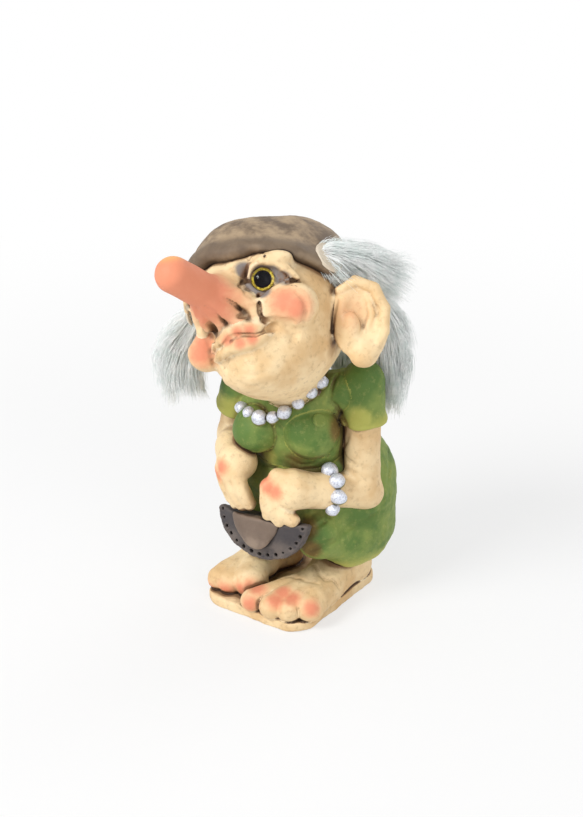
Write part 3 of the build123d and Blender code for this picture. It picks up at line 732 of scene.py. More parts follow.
def clayField(name):
    own, joined = forms[name], joins.get(name, {})

    def field(p):
        local = own(p)
        total, rest = local, np.full(len(p), 1e3)
        for other, soft in joined.items():
            gap = forms[other](p)
            total = melt(total, gap, soft)
            rest = np.minimum(rest, gap)
        side = local - rest
        close = np.abs(total) < 4
        relief = np.zeros(len(p))
        q = p[close]
        dent = -clayRelief(q, rough.get(name, rough["others"]))
        for lines in [name] + list(joined):
            for line, width, depth in crackLines.get(lines, []):
                dent = dent + groove(q, line, width, depth)
        relief[close] = dent + seamCracks.get(name, 0) * np.exp(-((side[close] / sculpting["seamWidth"]) ** 2))
        return np.maximum(total + relief + 0.06 * np.maximum(side, 0), side - sculpting["sharing"])

    return field


def nodeBox(name):
    return [np.array(corner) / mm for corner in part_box(name)]


def occluders(name):  # the forms that shade a piece's hollows
    low, high = nodeBox(name)
    close = []
    for other, form in forms.items():
        otherLow, otherHigh = nodeBox(other)
        reach = sculpting["neighbours"]
        if other != name and np.all(otherLow < high + reach) and np.all(otherHigh > low - reach):
            close.append(form)
    return close


def sculpt(name, paint):
    low, high = nodeBox(name)
    field = clayField(name)
    points, quads = netFrom(field, low - sculpting["margin"], high + sculpting["margin"], cellSize)
    for _ in range(2):
        gap, lean = slope(field, points)
        most = sculpting["settle"] * cellSize
        points = points - np.clip(gap, -most, most)[:, None] * lean
    points[:, 2] = np.maximum(points[:, 2], 0)  # the underside stays flat
    gap, lean = slope(field, points)
    close = occluders(name)

    def around(p):
        return np.min([field(p)] + [form(p) for form in close], axis=0)

    masks = {}
    # how closed in each point is by its own piece and its neighbours, for the brown wash and painted shade
    for label, reach in sculpting["shadeReach"].items():
        masks[label] = np.clip(1 - around(points + reach * lean) / reach, 0, 1.5)
    inward = sculpting["crestReach"]
    masks["crest"] = np.clip(1 + field(points - inward * lean) / inward, 0, 1)
    masks.update(paint(points))
    piece = meshFrom(name + "_clay", points, quads, masks)
    print(name, len(points), "points", flush=True)
    return piece


def near(points, centres, reach):  # a soft spot of paint round each centre
    mask = np.zeros(len(points))
    for centre in centres:
        mask = np.maximum(mask, np.clip(1 - length(points - centre) / reach, 0, 1))
    return mask * mask * (3 - 2 * mask)


# Shader maths: a wrapped socket that adds maths nodes as expressions are written
class Wire:
    def __init__(self, tree, socket):
        self.tree, self.socket = tree, socket

    def maths(self, kind, *values, clamp=False):
        settings = {"operation": kind, "use_clamp": clamp}
        return Maker(self.tree).node("ShaderNodeMath", settings, dict(enumerate(values)))

    def __add__(self, other):
        return self.maths("ADD", self, other)

    def __radd__(self, other):
        return self.maths("ADD", other, self)

    def __sub__(self, other):
        return self.maths("SUBTRACT", self, other)

    def __rsub__(self, other):
        return self.maths("SUBTRACT", other, self)

    def __mul__(self, other):
        return self.maths("MULTIPLY", self, other)

    def __rmul__(self, other):
        return self.maths("MULTIPLY", other, self)

    def held(self):
        return self.maths("ADD", self, 0.0, clamp=True)


class Maker:  # adds nodes to one material
    def __init__(self, tree):
        self.tree = tree

    def node(self, kind, settings=None, inputs=None, output=0):
        made = self.tree.nodes.new(kind)
        for key, value in (settings or {}).items():
            setattr(made, key, value)
        for key, value in (inputs or {}).items():
            if isinstance(value, Wire):
                self.tree.links.new(value.socket, made.inputs[key])
            else:
                made.inputs[key].default_value = value
        return None if output is None else Wire(self.tree, made.outputs[output])

    def mask(self, name):
        return self.node("ShaderNodeAttribute", {"attribute_name": name}, output="Fac")

    def noise(self, size, detail=4.0, rough=0.6):  # size in millimetres
        place = self.node("ShaderNodeTexCoord", output="Object")
        inputs = {"Vector": place, "Scale": 1 / (size * mm), "Detail": detail, "Roughness": rough}
        return self.node("ShaderNodeTexNoise", inputs=inputs)

    def mix(self, factor, first, second):
        first, second = ((*c, 1) if isinstance(c, tuple) else c for c in (first, second))
        return self.node("ShaderNodeMix", {"data_type": "RGBA"}, {0: factor, 6: first, 7: second}, output=2)

    def ramp(self, value, low, high):  # 0 below low, 1 above high
        inputs = {"Value": value, "From Min": low, "From Max": high}
        return self.node("ShaderNodeMapRange", {"interpolation_type": "SMOOTHSTEP"}, inputs)

    def raggedRamp(self, name, noise, ragged, low, high):  # a mask with a ragged edge, for paint zones and painted shade alike
        return self.ramp(self.mask(name) + ragged * (noise - 0.5), low, high)


def srgb(*levels):  # a colour as it is seen, 0 to 255
    return tuple(c / 12.92 if c <= 0.04045 else ((c + 0.055) / 1.055) ** 2.4 for c in (v / 255 for v in levels))


def material(name, build, specular=0.35):
    made = bpy.data.materials.new(name)
    made.use_nodes = True
    tree = made.node_tree
    shader = tree.nodes["Principled BSDF"]
    shader.inputs["Specular IOR Level"].default_value = specular
    for socket, value in build(Maker(tree)).items():
        if isinstance(value, Wire):
            tree.links.new(value.socket, shader.inputs[socket])
        else:
            shader.inputs[socket].default_value = (*value, 1) if isinstance(value, tuple) else value
    return made


def clayBump(make, height, strength=0.35):
    return make.node("ShaderNodeBump", inputs={"Strength": strength, "Distance": 0.3 * mm, "Height": height})


def washAndShadeHollows(make, colour, hollowTones):  # brown wash in the hollows, with painted shade in the hollows and close under neighbouring pieces
    patches = make.noise(9.0, 3.0)
    grit = make.noise(1.3, 5.0, 0.7)
    # painted shade and brown wash: darker the more closed in a point is
    hollow = make.ramp(make.mask("hollow") + 0.35 * (grit - 0.5) + 0.25 * (patches - 0.5), 0.28, 0.85)
    fine = make.raggedRamp("fine", grit, 0.25, 0.30, 0.80)
    deep = make.raggedRamp("deep", patches, 0.4, 0.35, 1.0)
    colour = make.mix(0.40 * deep, colour, hollowTones[0])
    colour = make.mix(0.80 * hollow, colour, hollowTones[0])
    return make.mix(0.85 * fine, colour, hollowTones[1])


skinTones = {
    "cream": srgb(238, 212, 168), "tan": srgb(218, 182, 132), "pale": srgb(248, 230, 196),
    "blush": srgb(222, 128, 98), "peach": srgb(236, 178, 134), "spot": srgb(240, 178, 110),
    "washAndShade": srgb(128, 92, 62), "crack": srgb(52, 34, 22), "lid": srgb(104, 104, 112),
}


def skinPaint(make):
    patches = make.noise(14.0, 3.0)
    streaks = make.noise(2.2, 4.0, 0.65)
    colour = make.mix(make.ramp(patches, 0.35, 0.7), skinTones["cream"], skinTones["tan"])
    colour = make.mix(0.5 * make.ramp(make.mask("crest"), 0.10, 0.45), colour, skinTones["pale"])
    colour = make.mix(0.3 * make.ramp(streaks, 0.5, 0.75), colour, skinTones["washAndShade"])
    warm = make.mask("blush") + 0.45 * (streaks - 0.5)
    colour = make.mix(0.75 * make.ramp(warm, 0.05, 0.6), colour, skinTones["peach"])
    colour = make.mix(0.8 * make.ramp(warm, 0.35, 1.0), colour, skinTones["blush"])
    colour = make.mix(make.ramp(make.mask("glow"), 0.1, 0.9) * 0.8, colour, skinTones["spot"])
    # grey-blue lid paint, with painted shade in and below the eye sockets
    shade = make.raggedRamp("shade", streaks, 0.3, 0.15, 0.65)
    colour = make.mix(0.85 * shade, colour, skinTones["lid"])
    colour = washAndShadeHollows(make, colour, (skinTones["washAndShade"], skinTones["crack"]))
    grit = make.noise(0.7, 3.0)
    return {"Base Color": colour, "Roughness": 0.5 + 0.25 * streaks, "Normal": clayBump(make, grit)}


dressTones = {
    "green": srgb(124, 142, 70), "dark": srgb(84, 114, 50), "yellow": srgb(182, 180, 90),
    "brown": srgb(112, 92, 44), "pale": srgb(202, 190, 120), "washAndShade": srgb(92, 74, 38), "crack": srgb(38, 28, 14),
}


def dressPaint(make):
    patches = make.noise(11.0, 4.0)
    streaks = make.noise(2.0, 5.0, 0.7)
    colour = make.mix(make.ramp(patches, 0.42, 0.66), dressTones["green"], dressTones["dark"])
    colour = make.mix(0.9 * make.raggedRamp("dark", streaks, 0.3, 0.15, 0.7), colour, dressTones["dark"])
    colour = make.mix(0.85 * make.raggedRamp("edge", streaks, 0.35, 0.2, 0.8), colour, dressTones["yellow"])
    # brown patches, mostly beside the left arm and behind the pouch
    colour = make.mix(make.raggedRamp("bare", streaks, 0.3, 0.2, 0.8), colour, dressTones["brown"])
    colour = make.mix(0.5 * make.ramp(make.mask("crest"), 0.1, 0.5), colour, dressTones["yellow"])
    colour = make.mix(0.25 * make.ramp(streaks, 0.5, 0.75), colour, dressTones["pale"])
    colour = washAndShadeHollows(make, colour, (dressTones["washAndShade"], dressTones["crack"]))
    grit = make.noise(0.8, 4.0)
    return {"Base Color": colour, "Roughness": 0.5 + 0.25 * streaks, "Normal": clayBump(make, grit, 0.5)}


def plainPaint(light, dark, washAndShade, crack):
    def build(make):
        patches = make.noise(8.0, 4.0)
        streaks = make.noise(1.8, 5.0, 0.7)
        colour = make.mix(make.ramp(patches, 0.35, 0.68), light, dark)
        colour = make.mix(0.8 * make.raggedRamp("shade", streaks, 0.3, 0.15, 0.75), colour, dark)
        colour = make.mix(0.45 * make.ramp(make.mask("crest"), 0.1, 0.5), colour, light)
        colour = washAndShadeHollows(make, colour, (washAndShade, crack))
        bump = clayBump(make, make.noise(0.7, 4.0), 0.45)
        return {"Base Color": colour, "Roughness": 0.5 + 0.25 * streaks, "Normal": bump}

    return build


materials = {"skin": material("skinPaint", skinPaint), "dress": material("dressPaint", dressPaint)}
plainTones = {  # light, dark, brown wash with painted shade, and crack
    "scarf": ((168, 146, 118), (104, 88, 72), (74, 58, 44), (34, 26, 20)),
    "pouch": ((104, 94, 88), (62, 58, 60), (42, 36, 34), (18, 14, 12)),
    "flap": ((146, 128, 112), (108, 92, 80), (70, 56, 46), (30, 22, 18)),
}
for name, tones in plainTones.items():
    materials[name] = material(name + "Paint", plainPaint(*(srgb(*tone) for tone in tones)))

# Paint zones, placed on the photograph and held on the clay
zonePixels = {
    "cheeks": [(285, 300), (296, 306), (203, 346), (200, 352)],
    "lips": [(228, 340), (238, 332), (250, 330), (240, 342), (252, 338)],
    "eyeShade": [(252, 276), (262, 268), (272, 270), (250, 288), (262, 292), (284, 278), (244, 270)],
    "lid": [(268, 264), (260, 266), (277, 266)],
    "toesRight": [(250, 588), (226, 590), (212, 588), (242, 590), (258, 588)],
    "toesLeft": [(283, 592), (292, 598), (312, 608), (276, 600), (250, 604)],
    "knucklesLeft": [(268, 487), (276, 492), (264, 480)],
    "knucklesRight": [(222, 467), (217, 474)],
}
zones = {name: seen(wholeForm, pixels) for name, pixels in zonePixels.items()}
paintReach = {  # how far each spot of paint fades out
    "cheeks": 11.0, "lips": 4.5, "eyeShade": 5.5, "noseTip": 8.0, "ears": 13.0, "knuckles": 6.0, "toes": 7.0,
    "dark": 11.0, "hem": 12.0, "edge": 10.0, "bare": 9.0, "sleeve": 12.0,
}


def noPaint(points):
    return {label: np.zeros(len(points)) for label in ("blush", "glow", "shade")}


def facePaint(points):
    masks = noPaint(points)
    blushes = [near(points, zones[label], paintReach[label]) for label in ("cheeks", "lips")]
    masks["blush"] = np.max(blushes, axis=0)
    mirrored = [onHead(*(inHead(c[None])[0] * spot(-1, 1, 1))) for c in zones["eyeShade"]]
    masks["shade"] = near(points, [*zones["eyeShade"], *mirrored], paintReach["eyeShade"])
    return masks


def nosePaint(points):
    masks = noPaint(points)
    forward = inHead(points)[:, 1]
    masks["blush"] = np.clip((forward - 27) / 12, 0, 1)
    masks["glow"] = near(points, [onHead(1.0, 55, 18)], paintReach["noseTip"])
    return masks


def earPaint(points):
    masks = noPaint(points)
    masks["blush"] = 0.45 * near(points, [onHead(33, 2, -8), onHead(-30, -8, -3)], paintReach["ears"])
    return masks


def handPaint(points):
    masks = noPaint(points)
    masks["blush"] = near(points, [*zones["knucklesLeft"], *zones["knucklesRight"]], paintReach["knuckles"])
    return masks


def footPaint(points):
    masks = noPaint(points)
    masks["blush"] = near(points, [*zones["toesRight"], *zones["toesLeft"]], paintReach["toes"])
    return masks


dressSpots = {
    "dark": [(26, -2, 90), (14, -13, 78), (-9, -21, 74), (30, 4, 40), (20, -14, 36)],
    "edge": [(-4, -12, 62), (30, 0, 80)],
    "bare": [(20, -10, 62), (10, -14, 62), (22, -3, 76), (19, -16, 30), (16, -14, 38)],
}


def dressZones(points):
    masks = {label: near(points, places, paintReach[label]) for label, places in dressSpots.items()}
    hem = np.clip(1 - (points[:, 2] - body["hem"]) / paintReach["hem"], 0, 1)
    masks["edge"] = np.maximum(masks["edge"], hem)
    return masks


def sleeveZones(points):
    masks = dressZones(points)
    masks["edge"] = np.maximum(masks["edge"], np.clip(1 - (points[:, 2] - 76) / 9, 0, 1))
    masks["dark"] = near(points, [spot(28, 1, 92), spot(-24, -8, 82)], paintReach["sleeve"])
    return masks


def scarfZones(points):
    q = inHead(points)
    return {"shade": np.clip(1 - np.abs(q[:, 2] - 0.5 * q[:, 1] - 8) / 9, 0, 1)}


def pouchZones(points):
    return {"shade": np.clip(0.9 - 0.1 * np.abs(inPouch(points)[:, 1] + 4), 0, 1)}


clayPieces = {  # finish, slot and paint zones of each cast piece
    "head": ("skin", "painted_skin", facePaint),
    "nose": ("skin", "painted_nose", nosePaint),
    "left_ear right_ear": ("skin", "painted_skin", earPaint),
    "headscarf": ("scarf", "painted_scarf", scarfZones),
    "neck left_arm right_arm base_slab": ("skin", "painted_skin", noPaint),
    "torso left_bodice_cup right_bodice_cup skirt": ("dress", "painted_dress", dressZones),
    "left_sleeve right_sleeve": ("dress", "painted_dress", sleeveZones),
    "left_hand right_hand": ("skin", "painted_skin", handPaint),
    "left_foot right_foot": ("skin", "painted_skin", footPaint),
    "pouch_body": ("pouch", "painted_pouch", pouchZones),
    "pouch_flap": ("flap", "painted_flap", pouchZones),
}
for names, (finish, slotName, paint) in clayPieces.items():
    for name in names.split():
        piece = sculpt(name, paint)
        piece.data.materials.append(materials[finish])
        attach(piece, "root")
        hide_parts(name)
print("clay done", flush=True)

# Beads: lumpy pebbles, silver paint over their tops and olive clay below
necklace = {
    "string": [(-13.8, -13, 78.7), (-7.8, -16.5, 79.7), (-2.2, -17.5, 79.4), (3, -16.5, 80.6), (7, -14.9, 83),
               (11.4, -12.4, 86.9), (14.6, -8.8, 90.5), (16, -4.2, 93.3)],
    "radii": (2.5, 2.2, 2.9, 2.4, 2.7, 2.5, 2.2, 2.6),
}
bracelet = {
    "centre": spot(20.7, -6.6, 51.8),
    "ringRadius": 7.4,
    "radii": (3.2, 2.9, 3.0, 2.8),
    "firstTurn": 100.0,
    "step": -48.0,
}


pebble = {
    "margin": 4.5,
    "cell": 0.3,
    "fullCell": 0.3,
    "brushedFrom": spot(0.25, -0.45, 0.75),
    "meetReach": 1.2,
}


def pebbles(name, centres, radii, seed):
    chance = np.random.default_rng(seed)
    turns = [np.linalg.qr(chance.normal(size=(3, 3)))[0] for _ in centres]
    stretch = [chance.uniform(0.88, 1.08, 3) for _ in centres]

    def field(p):
        d = np.full(len(p), 1e3)
        for centre, radius, turn, wide in zip(centres, radii, turns, stretch):
            d = np.minimum(d, ball(p, centre, radius * wide, turn))
        return d - 0.16 * grain(p, 1.5, seed) - 0.05 * grain(p, 0.6, seed + 1)

    low, high = np.min(centres, 0) - pebble["margin"], np.max(centres, 0) + pebble["margin"]
    points, quads = netFrom(field, low, high, pebble["cell"])
    gap, lean = slope(field, points)
    points = points - np.clip(gap, -0.5 * pebble["fullCell"], 0.5 * pebble["fullCell"])[:, None] * lean
    middle = np.argmin([length(points - centre) for centre in centres], axis=0)
    outward = (points - np.array(centres)[middle]) / np.array(radii)[middle][:, None]
    silver = np.clip(0.5 + 0.9 * outward @ pebble["brushedFrom"], 0, 1)
    others = np.sort([length(points - centre) - radius for centre, radius in zip(centres, radii)], axis=0)
    # darker where beads meet
    fine = np.clip(1 - others[1] / pebble["meetReach"], 0, 1)
    return meshFrom(name, points, quads, {"silver": silver, "fine": fine})


def silverPaint(make):
    streaks = make.noise(0.8, 5.0, 0.7)
    patches = make.noise(2.4, 3.0)
    raggedRamp = make.mask("silver") + 0.5 * (streaks - 0.5) + 0.35 * (patches - 0.5)
    raggedRamp = make.ramp(raggedRamp, 0.42, 0.62)
    clayTone = make.mix(make.ramp(patches, 0.35, 0.65), srgb(150, 146, 80), srgb(104, 96, 58))
    silverTone = make.mix(make.ramp(streaks, 0.4, 0.7), srgb(226, 230, 240), srgb(168, 172, 188))
    colour = make.mix(raggedRamp, clayTone, silverTone)
    # darker where beads meet
    colour = make.mix(0.85 * make.raggedRamp("fine", streaks, 0.3, 0.35, 0.8), colour, srgb(62, 50, 34))
    bump = clayBump(make, streaks, 0.6)
    return {"Base Color": colour, "Metallic": 0.35 * raggedRamp, "Roughness": 0.62 - 0.25 * raggedRamp, "Normal": bump}


beadPaint = material("silverPaint", silverPaint)
strand = pebbles("necklace_pebbles", [spot(*place) for place in necklace["string"]], necklace["radii"], seed=5)
along = (body["wrist"][1] - body["elbow"][1]) / np.linalg.norm(body["wrist"][1] - body["elbow"][1])
ringUp = spot(0, 0, 1) - along * along[2]
ringUp /= np.linalg.norm(ringUp)
ringOut = np.cross(along, ringUp)
ringOut = ringOut if ringOut @ camera["toViewer"] > 0 else -ringOut
ringPlaces = []
for k in range(len(bracelet["radii"])):
    turn = math.radians(bracelet["firstTurn"] + k * bracelet["step"])
    outward = math.cos(turn) * ringOut + math.sin(turn) * ringUp
    ringPlaces.append(bracelet["centre"] + bracelet["ringRadius"] * outward)
cuff = pebbles("bracelet_pebbles", ringPlaces, bracelet["radii"], seed=8)
for piece, node in ((strand, "necklace_beads"), (cuff, "bracelet_beads")):
    piece.data.materials.append(beadPaint)
    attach(piece, "root")
    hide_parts(node)
print("beads done", flush=True)


# Glass eyes keep their CAD solids and get glass, yellow and black paint
def glassPaint(make):
    clear = {"Transmission Weight": 1.0, "IOR": 1.2, "Specular IOR Level": 0.5}
    return {"Base Color": (0.98, 0.99, 1.0), "Roughness": 0.02, **clear}


def yellowPaint(make):
    flecks = make.noise(0.6, 3.0)
    colour = make.mix(make.ramp(flecks, 0.42, 0.6), srgb(238, 214, 70), srgb(150, 120, 30))
    return {"Base Color": colour, "Roughness": 0.3}


def blackPaint(make):
    cloud = make.noise(1.5, 2.0)
    return {"Base Color": make.mix(cloud, srgb(6, 6, 9), srgb(16, 16, 22)), "Roughness": 0.15}


def wirePaint(make):
    scratches = make.noise(0.3, 3.0)
    colour = make.mix(scratches, (0.45, 0.43, 0.40), (0.6, 0.58, 0.55))
    return {"Base Color": colour, "Metallic": 1.0, "Roughness": 0.3 + 0.2 * scratches}


def hidePaint(make):
    grain = make.noise(0.8, 4.0)
    colour = make.mix(grain, srgb(226, 216, 200), srgb(190, 174, 150))
    return {"Base Color": colour, "Roughness": 0.75, "Normal": clayBump(make, grain, 0.4)}


finishes = {  # by the end of a node's name
    "eye_glass": material("clearGlass", glassPaint),
    "eye_iris": material("yellowPaint", yellowPaint),
    "eye_pupil": material("blackPaint", blackPaint, specular=0.05),
    "eye_wire": material("eyeWire", wirePaint),
    "hide": material("furHide", hidePaint),
    "pour_hole_plug": materials["skin"],
    "bodice_button": materials["dress"],
}
for name, solid in nodes.items():
    for ending, finish in finishes.items():
        if name.endswith(ending):
            solid.data.materials.clear()
            solid.data.materials.append(finish)
print("eyes done", flush=True)

# Fur: locks of thin tapered strands along each tuft's bent middle line
tufts = {  # each run: points of its middle line, radii along it and number of strands
    "left_temple_hair": {
        "runs": [
            ([onHead(25.5, 6.5, 12.5), onHead(29.5, 0, 11.5), onHead(34.0, -11, 7.5), onHead(37.5, -24, 3.5)],
             (5.5, 7.0, 8.6, 9.0), 4500),
        ],
        "seed": 3, "length": (8, 18), "droop": 2.2,
    },
    "right_temple_hair": {
        "runs": [
            ([onHead(-26.5, 4.0, 7.0), spot(-32.5, -20.5, 106), spot(-34.4, -22.6, 96), spot(-34.1, -21.5, 86)],
             (6.0, 8.0, 8.6, 6.8), 2600),
        ],
        "seed": 7, "length": (10, 22), "droop": 2.0,
    },
    "back_hair": {
        "runs": [
            ([spot(23.1, 19.6, 121.0), spot(27.0, 23.0, 106), spot(28.4, 23.5, 94), spot(29.4, 21.8, 79)],
             (7.5, 7.6, 6.6, 4.0), 1900),
            ([spot(5.3, 20.7, 111.5), spot(7.0, 26.0, 100), spot(7.5, 27.2, 92), spot(7.5, 26.6, 79)],
             (8.0, 7.8, 6.4, 4.0), 1900),
            ([spot(-14.7, 15.1, 104.0), spot(-16.4, 19.6, 95), spot(-16.8, 20.7, 88), spot(-16.8, 20.4, 77)],
             (7.5, 7.4, 6.2, 3.8), 1600),
        ],
        "seed": 11, "length": (12, 24), "droop": 1.5,
    },
}
strandShape = {
    "points": 6, "radius": 0.11, "quickRadius": 0.176, "tip": 0.25, "taperFrom": 0.35, "sides": 3,
    "inLock": 26, "wave": 0.5, "flare": 0.7, "pastEnd": 0.4, "inBox": 0.2,
}


def bend(points, share):  # a smooth way along a tuft's middle line
    points = np.asarray(points)
    at = np.clip(share, 0, 1) * (len(points) - 1)
    k = np.minimum(at.astype(int), len(points) - 2)
    f = (at - k)[:, None]
    before, after = points[np.maximum(k - 1, 0)], points[np.minimum(k + 2, len(points) - 1)]
    a, b = points[k], points[k + 1]
    square, cube = 2 * before - 5 * a + 4 * b - after, 3 * a - before - 3 * b + after
    return 0.5 * (2 * a + (b - before) * f + square * f * f + cube * f ** 3)


def strandLines(tuft, box):
    chance = np.random.default_rng(tuft["seed"])
    lines = []
    for points, radii, count in tuft["runs"]:
        count = count
        total = sum(np.linalg.norm(b - a) for a, b in zip(points, points[1:]))
        locks = max(8, count // strandShape["inLock"])
        lockShare = chance.uniform(-0.05, 0.78, locks)
        lockTurn = chance.uniform(0, 2 * math.pi, locks)
        lockDepth = np.sqrt(chance.uniform(0.05, 1.0, locks))
        lockReach = chance.uniform(*tuft["length"], locks)
        lock = chance.integers(0, locks, count)
        start = np.clip(lockShare[lock] + chance.normal(0, 0.03, count), 0, 0.9)
        reach = lockReach[lock] * chance.uniform(0.75, 1.1, count) / total
        turn = lockTurn[lock] + chance.normal(0, 0.22, count)
        depth = np.clip(lockDepth[lock] + chance.normal(0, 0.12, count), 0, 1)
        flare = chance.normal(0, strandShape["flare"], (count, 3))
        strands = []
        for step in range(strandShape["points"]):
            share = step / (strandShape["points"] - 1)
            at = start + reach * share
            middle = bend(points, at)
            past = np.maximum(at - 1, 0) * total
            ahead = bend(points, np.minimum(at, 1)) - bend(points, np.minimum(at, 1) - 0.03)
            ahead /= np.maximum(length(ahead), 1e-6)[:, None]
            one = np.cross(ahead, spot(0.3, 1, 0.2))
            one /= np.maximum(length(one), 1e-6)[:, None]
            two = np.cross(ahead, one)
            wide = np.interp(np.clip(at, 0, 1), np.linspace(0, 1, len(radii)), radii)
            wide = wide * (0.35 + 0.65 * np.minimum(1, (at - start + 0.02) / 0.25))
            wide = wide * depth * (1 + 0.25 * share)
            wave = strandShape["wave"] * np.sin(7 * at + turn * 3)
            place = middle + past[:, None] * ahead * strandShape["pastEnd"]
            place = place + (wide * np.cos(turn) + wave)[:, None] * one + (wide * np.sin(turn))[:, None] * two
            place = place + flare * share ** 1.5 - spot(0, 0, tuft["droop"] * share * share)
            strands.append(np.clip(place, box[0] + strandShape["inBox"], box[1] - strandShape["inBox"]))
        lines.append(np.stack(strands, 1))
    return np.concatenate(lines)


def hairTree(finish):  # edges become tapered strands
    tree = bpy.data.node_groups.new("strands", "GeometryNodeTree")
    tree.interface.new_socket("Geometry", in_out="INPUT", socket_type="NodeSocketGeometry")
    width = tree.interface.new_socket("Radius", in_out="INPUT", socket_type="NodeSocketFloat")
    tree.interface.new_socket("Geometry", in_out="OUTPUT", socket_type="NodeSocketGeometry")
    make = Maker(tree)
    lines = make.node("NodeGroupInput", output="Geometry")
    radius = Wire(tree, lines.socket.node.outputs["Radius"])
    curves = make.node("GeometryNodeMeshToCurve", inputs={"Mesh": lines})
    along = make.node("GeometryNodeSplineParameter", output="Factor")
    taper = {"Value": along, "From Min": strandShape["taperFrom"], "To Min": 1.0, "To Max": strandShape["tip"]}
    taper = make.node("ShaderNodeMapRange", inputs=taper, output="Result")
    outline = {"Resolution": strandShape["sides"], "Radius": 1.0}
    outline = make.node("GeometryNodeCurvePrimitiveCircle", inputs=outline, output="Curve")
    solid = {"Curve": curves, "Profile Curve": outline, "Scale": taper * radius, "Fill Caps": True}
    solid = make.node("GeometryNodeCurveToMesh", inputs=solid)
    real = make.node("GeometryNodeRealizeInstances", inputs={"Geometry": solid})
    painted = make.node("GeometryNodeSetMaterial", inputs={"Geometry": real, "Material": finish})
    make.node("NodeGroupOutput", inputs={"Geometry": painted}, output=None)
    return tree, width.identifier


def furPaint(make):
    streaks = make.noise(3.5, 3.0)
    fine = make.noise(0.9, 3.0)
    colour = make.mix(make.ramp(streaks, 0.35, 0.7), srgb(254, 255, 254), srgb(232, 240, 237))
    colour = make.mix(0.25 * make.ramp(fine, 0.5, 0.75), colour, srgb(204, 216, 210))
    return {"Base Color": colour, "Roughness": 0.55}


strandTree, radiusInput = hairTree(material("whiteFur", furPaint, specular=0.3))
wholeLow, wholeHigh = (np.array(corner) / mm for corner in cadBox)
for name, tuft in tufts.items():
    strands = strandLines(tuft, (wholeLow - 1.0, wholeHigh + 1.0))
    count, steps = strands.shape[:2]
    wires = bpy.data.meshes.new(name + "_lines")
    wires.vertices.add(count * steps)
    wires.vertices.foreach_set("co", (strands * mm).astype(np.float32).ravel())
    first = (np.arange(count)[:, None] * steps + np.arange(steps - 1)).ravel()
    wires.edges.add(len(first))
    wires.edges.foreach_set("vertices", np.stack([first, first + 1], 1).astype(np.int32).ravel())
    holder = bpy.data.objects.new(name + "_lines", wires)
    bpy.context.scene.collection.objects.link(holder)
    modifier = holder.modifiers.new("strands", "NODES")
    modifier.node_group = strandTree
    modifier[radiusInput] = strandShape["radius"] * mm
    made = bpy.data.meshes.new_from_object(holder.evaluated_get(bpy.context.evaluated_depsgraph_get()))
    holder.modifiers.clear()
    bpy.data.objects.remove(holder)
    piece = bpy.data.objects.new(name + "_strands", made)
    bpy.context.scene.collection.objects.link(piece)
    made.polygons.foreach_set("use_smooth", np.ones(len(made.polygons), bool))
    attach(piece, "root")
    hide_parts(name)
    print(name, count, "strands", len(made.polygons), "faces", flush=True)

# Camera, floor and light
view = bpy.data.objects.new("camera", bpy.data.cameras.new("camera"))
bpy.context.scene.collection.objects.link(view)
columns = [camera["right"], camera["up"], camera["toViewer"], eyePoint * mm]
rows = [[float(column[row]) for column in columns] for row in range(3)]
view.matrix_world = Matrix(rows + [[0, 0, 0, 1]])
view.data.sensor_fit = "VERTICAL"
view.data.sensor_height = camera["sensor"]
view.data.lens = camera["sensor"] * camera["focal"] / camera["size"][1]
view.data.clip_start = 0.05
bpy.context.scene.camera = view

studio = {
    "floorRadius": 1.6,
    "floorShow": 0.62,  # how much of the floor's white glows by itself to the camera
    "keyPlace": (-0.25, -0.75, 0.75),
    "keySize": 0.45,
    "keyPower": 7.5,
    "fillPlace": (0.85, -0.35, 0.45),
    "fillSize": 0.6,
    "fillPower": 2.2,
    "backPlace": (0.1, 0.8, 0.6),
    "backSize": 0.6,
    "backPower": 2.0,
    "ambient": 0.55,
}


def seenDirectly(make):
    path = make.node("ShaderNodeLightPath", output="Is Camera Ray")
    ray = path.socket.node.outputs
    return (path + Wire(make.tree, ray["Is Glossy Ray"]) + Wire(make.tree, ray["Is Transmission Ray"])).held()


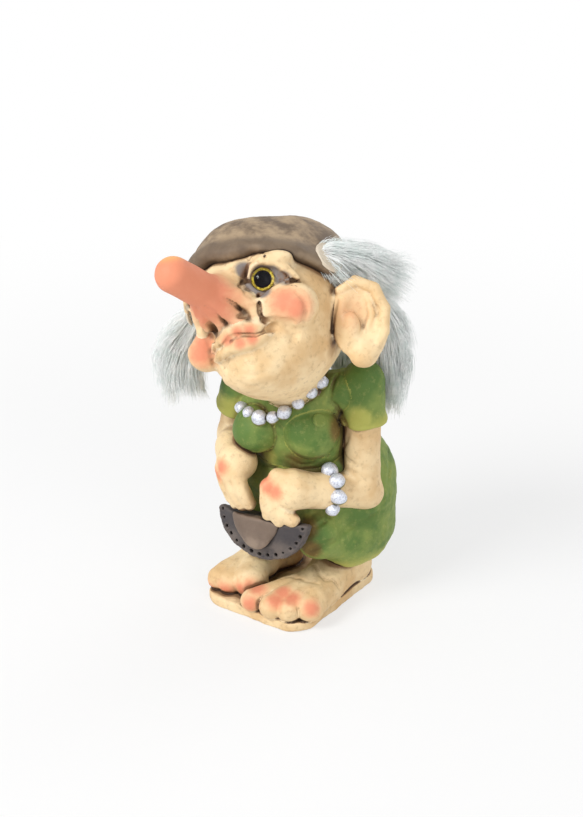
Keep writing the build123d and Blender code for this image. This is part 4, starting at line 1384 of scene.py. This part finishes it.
def floorPaint():
    made = bpy.data.materials.new("floorWhite")
    made.use_nodes = True
    tree = made.node_tree
    tree.nodes.clear()
    make = Maker(tree)
    matt = make.node("ShaderNodeBsdfDiffuse", inputs={"Color": (0.8, 0.8, 0.8, 1)})
    glow = make.node("ShaderNodeEmission", inputs={"Color": (1, 1, 1, 1), "Strength": 1.0})
    place = make.node("ShaderNodeTexCoord", output="Object")
    away = make.node("ShaderNodeVectorMath", {"operation": "LENGTH"}, {0: place}, "Value")
    far = make.ramp(away, 0.10, 0.45)
    share = seenDirectly(make) * (studio["floorShow"] + (1 - studio["floorShow"]) * far)
    mixed = make.node("ShaderNodeMixShader", inputs={0: share, 1: matt, 2: glow})
    make.node("ShaderNodeOutputMaterial", inputs={"Surface": mixed}, output=None)
    return made


ring = np.linspace(0, 2 * math.pi, 96, endpoint=False)
floorMesh = bpy.data.meshes.new("floor")
rim = [(studio["floorRadius"] * math.cos(t), studio["floorRadius"] * math.sin(t), 0) for t in ring]
floorMesh.from_pydata(rim, [], [range(len(rim))])
floor = bpy.data.objects.new("floor", floorMesh)
bpy.context.scene.collection.objects.link(floor)
floorMesh.materials.append(floorPaint())


def lamp(name, place, size, power):
    light = bpy.data.lights.new(name, "AREA")
    light.shape, light.size, light.energy = "DISK", size, power
    holder = bpy.data.objects.new(name, light)
    bpy.context.scene.collection.objects.link(holder)
    holder.location = place
    holder.rotation_euler = (Vector(camera["target"] * mm) - Vector(place)).to_track_quat("-Z", "Y").to_euler()


for name in ("key", "fill", "back"):
    lamp(name, studio[name + "Place"], studio[name + "Size"], studio[name + "Power"])

world = bpy.data.worlds.new("studio")
bpy.context.scene.world = world
world.use_nodes = True
make = Maker(world.node_tree)
world.node_tree.nodes.clear()
strength = studio["ambient"] + (1 - studio["ambient"]) * seenDirectly(make)
light = make.node("ShaderNodeBackground", inputs={"Color": (1, 1, 1, 1), "Strength": strength})
make.node("ShaderNodeOutputWorld", inputs={"Surface": light}, output=None)
bpy.context.scene.view_settings.view_transform = "Standard"

print("scene ready", flush=True)
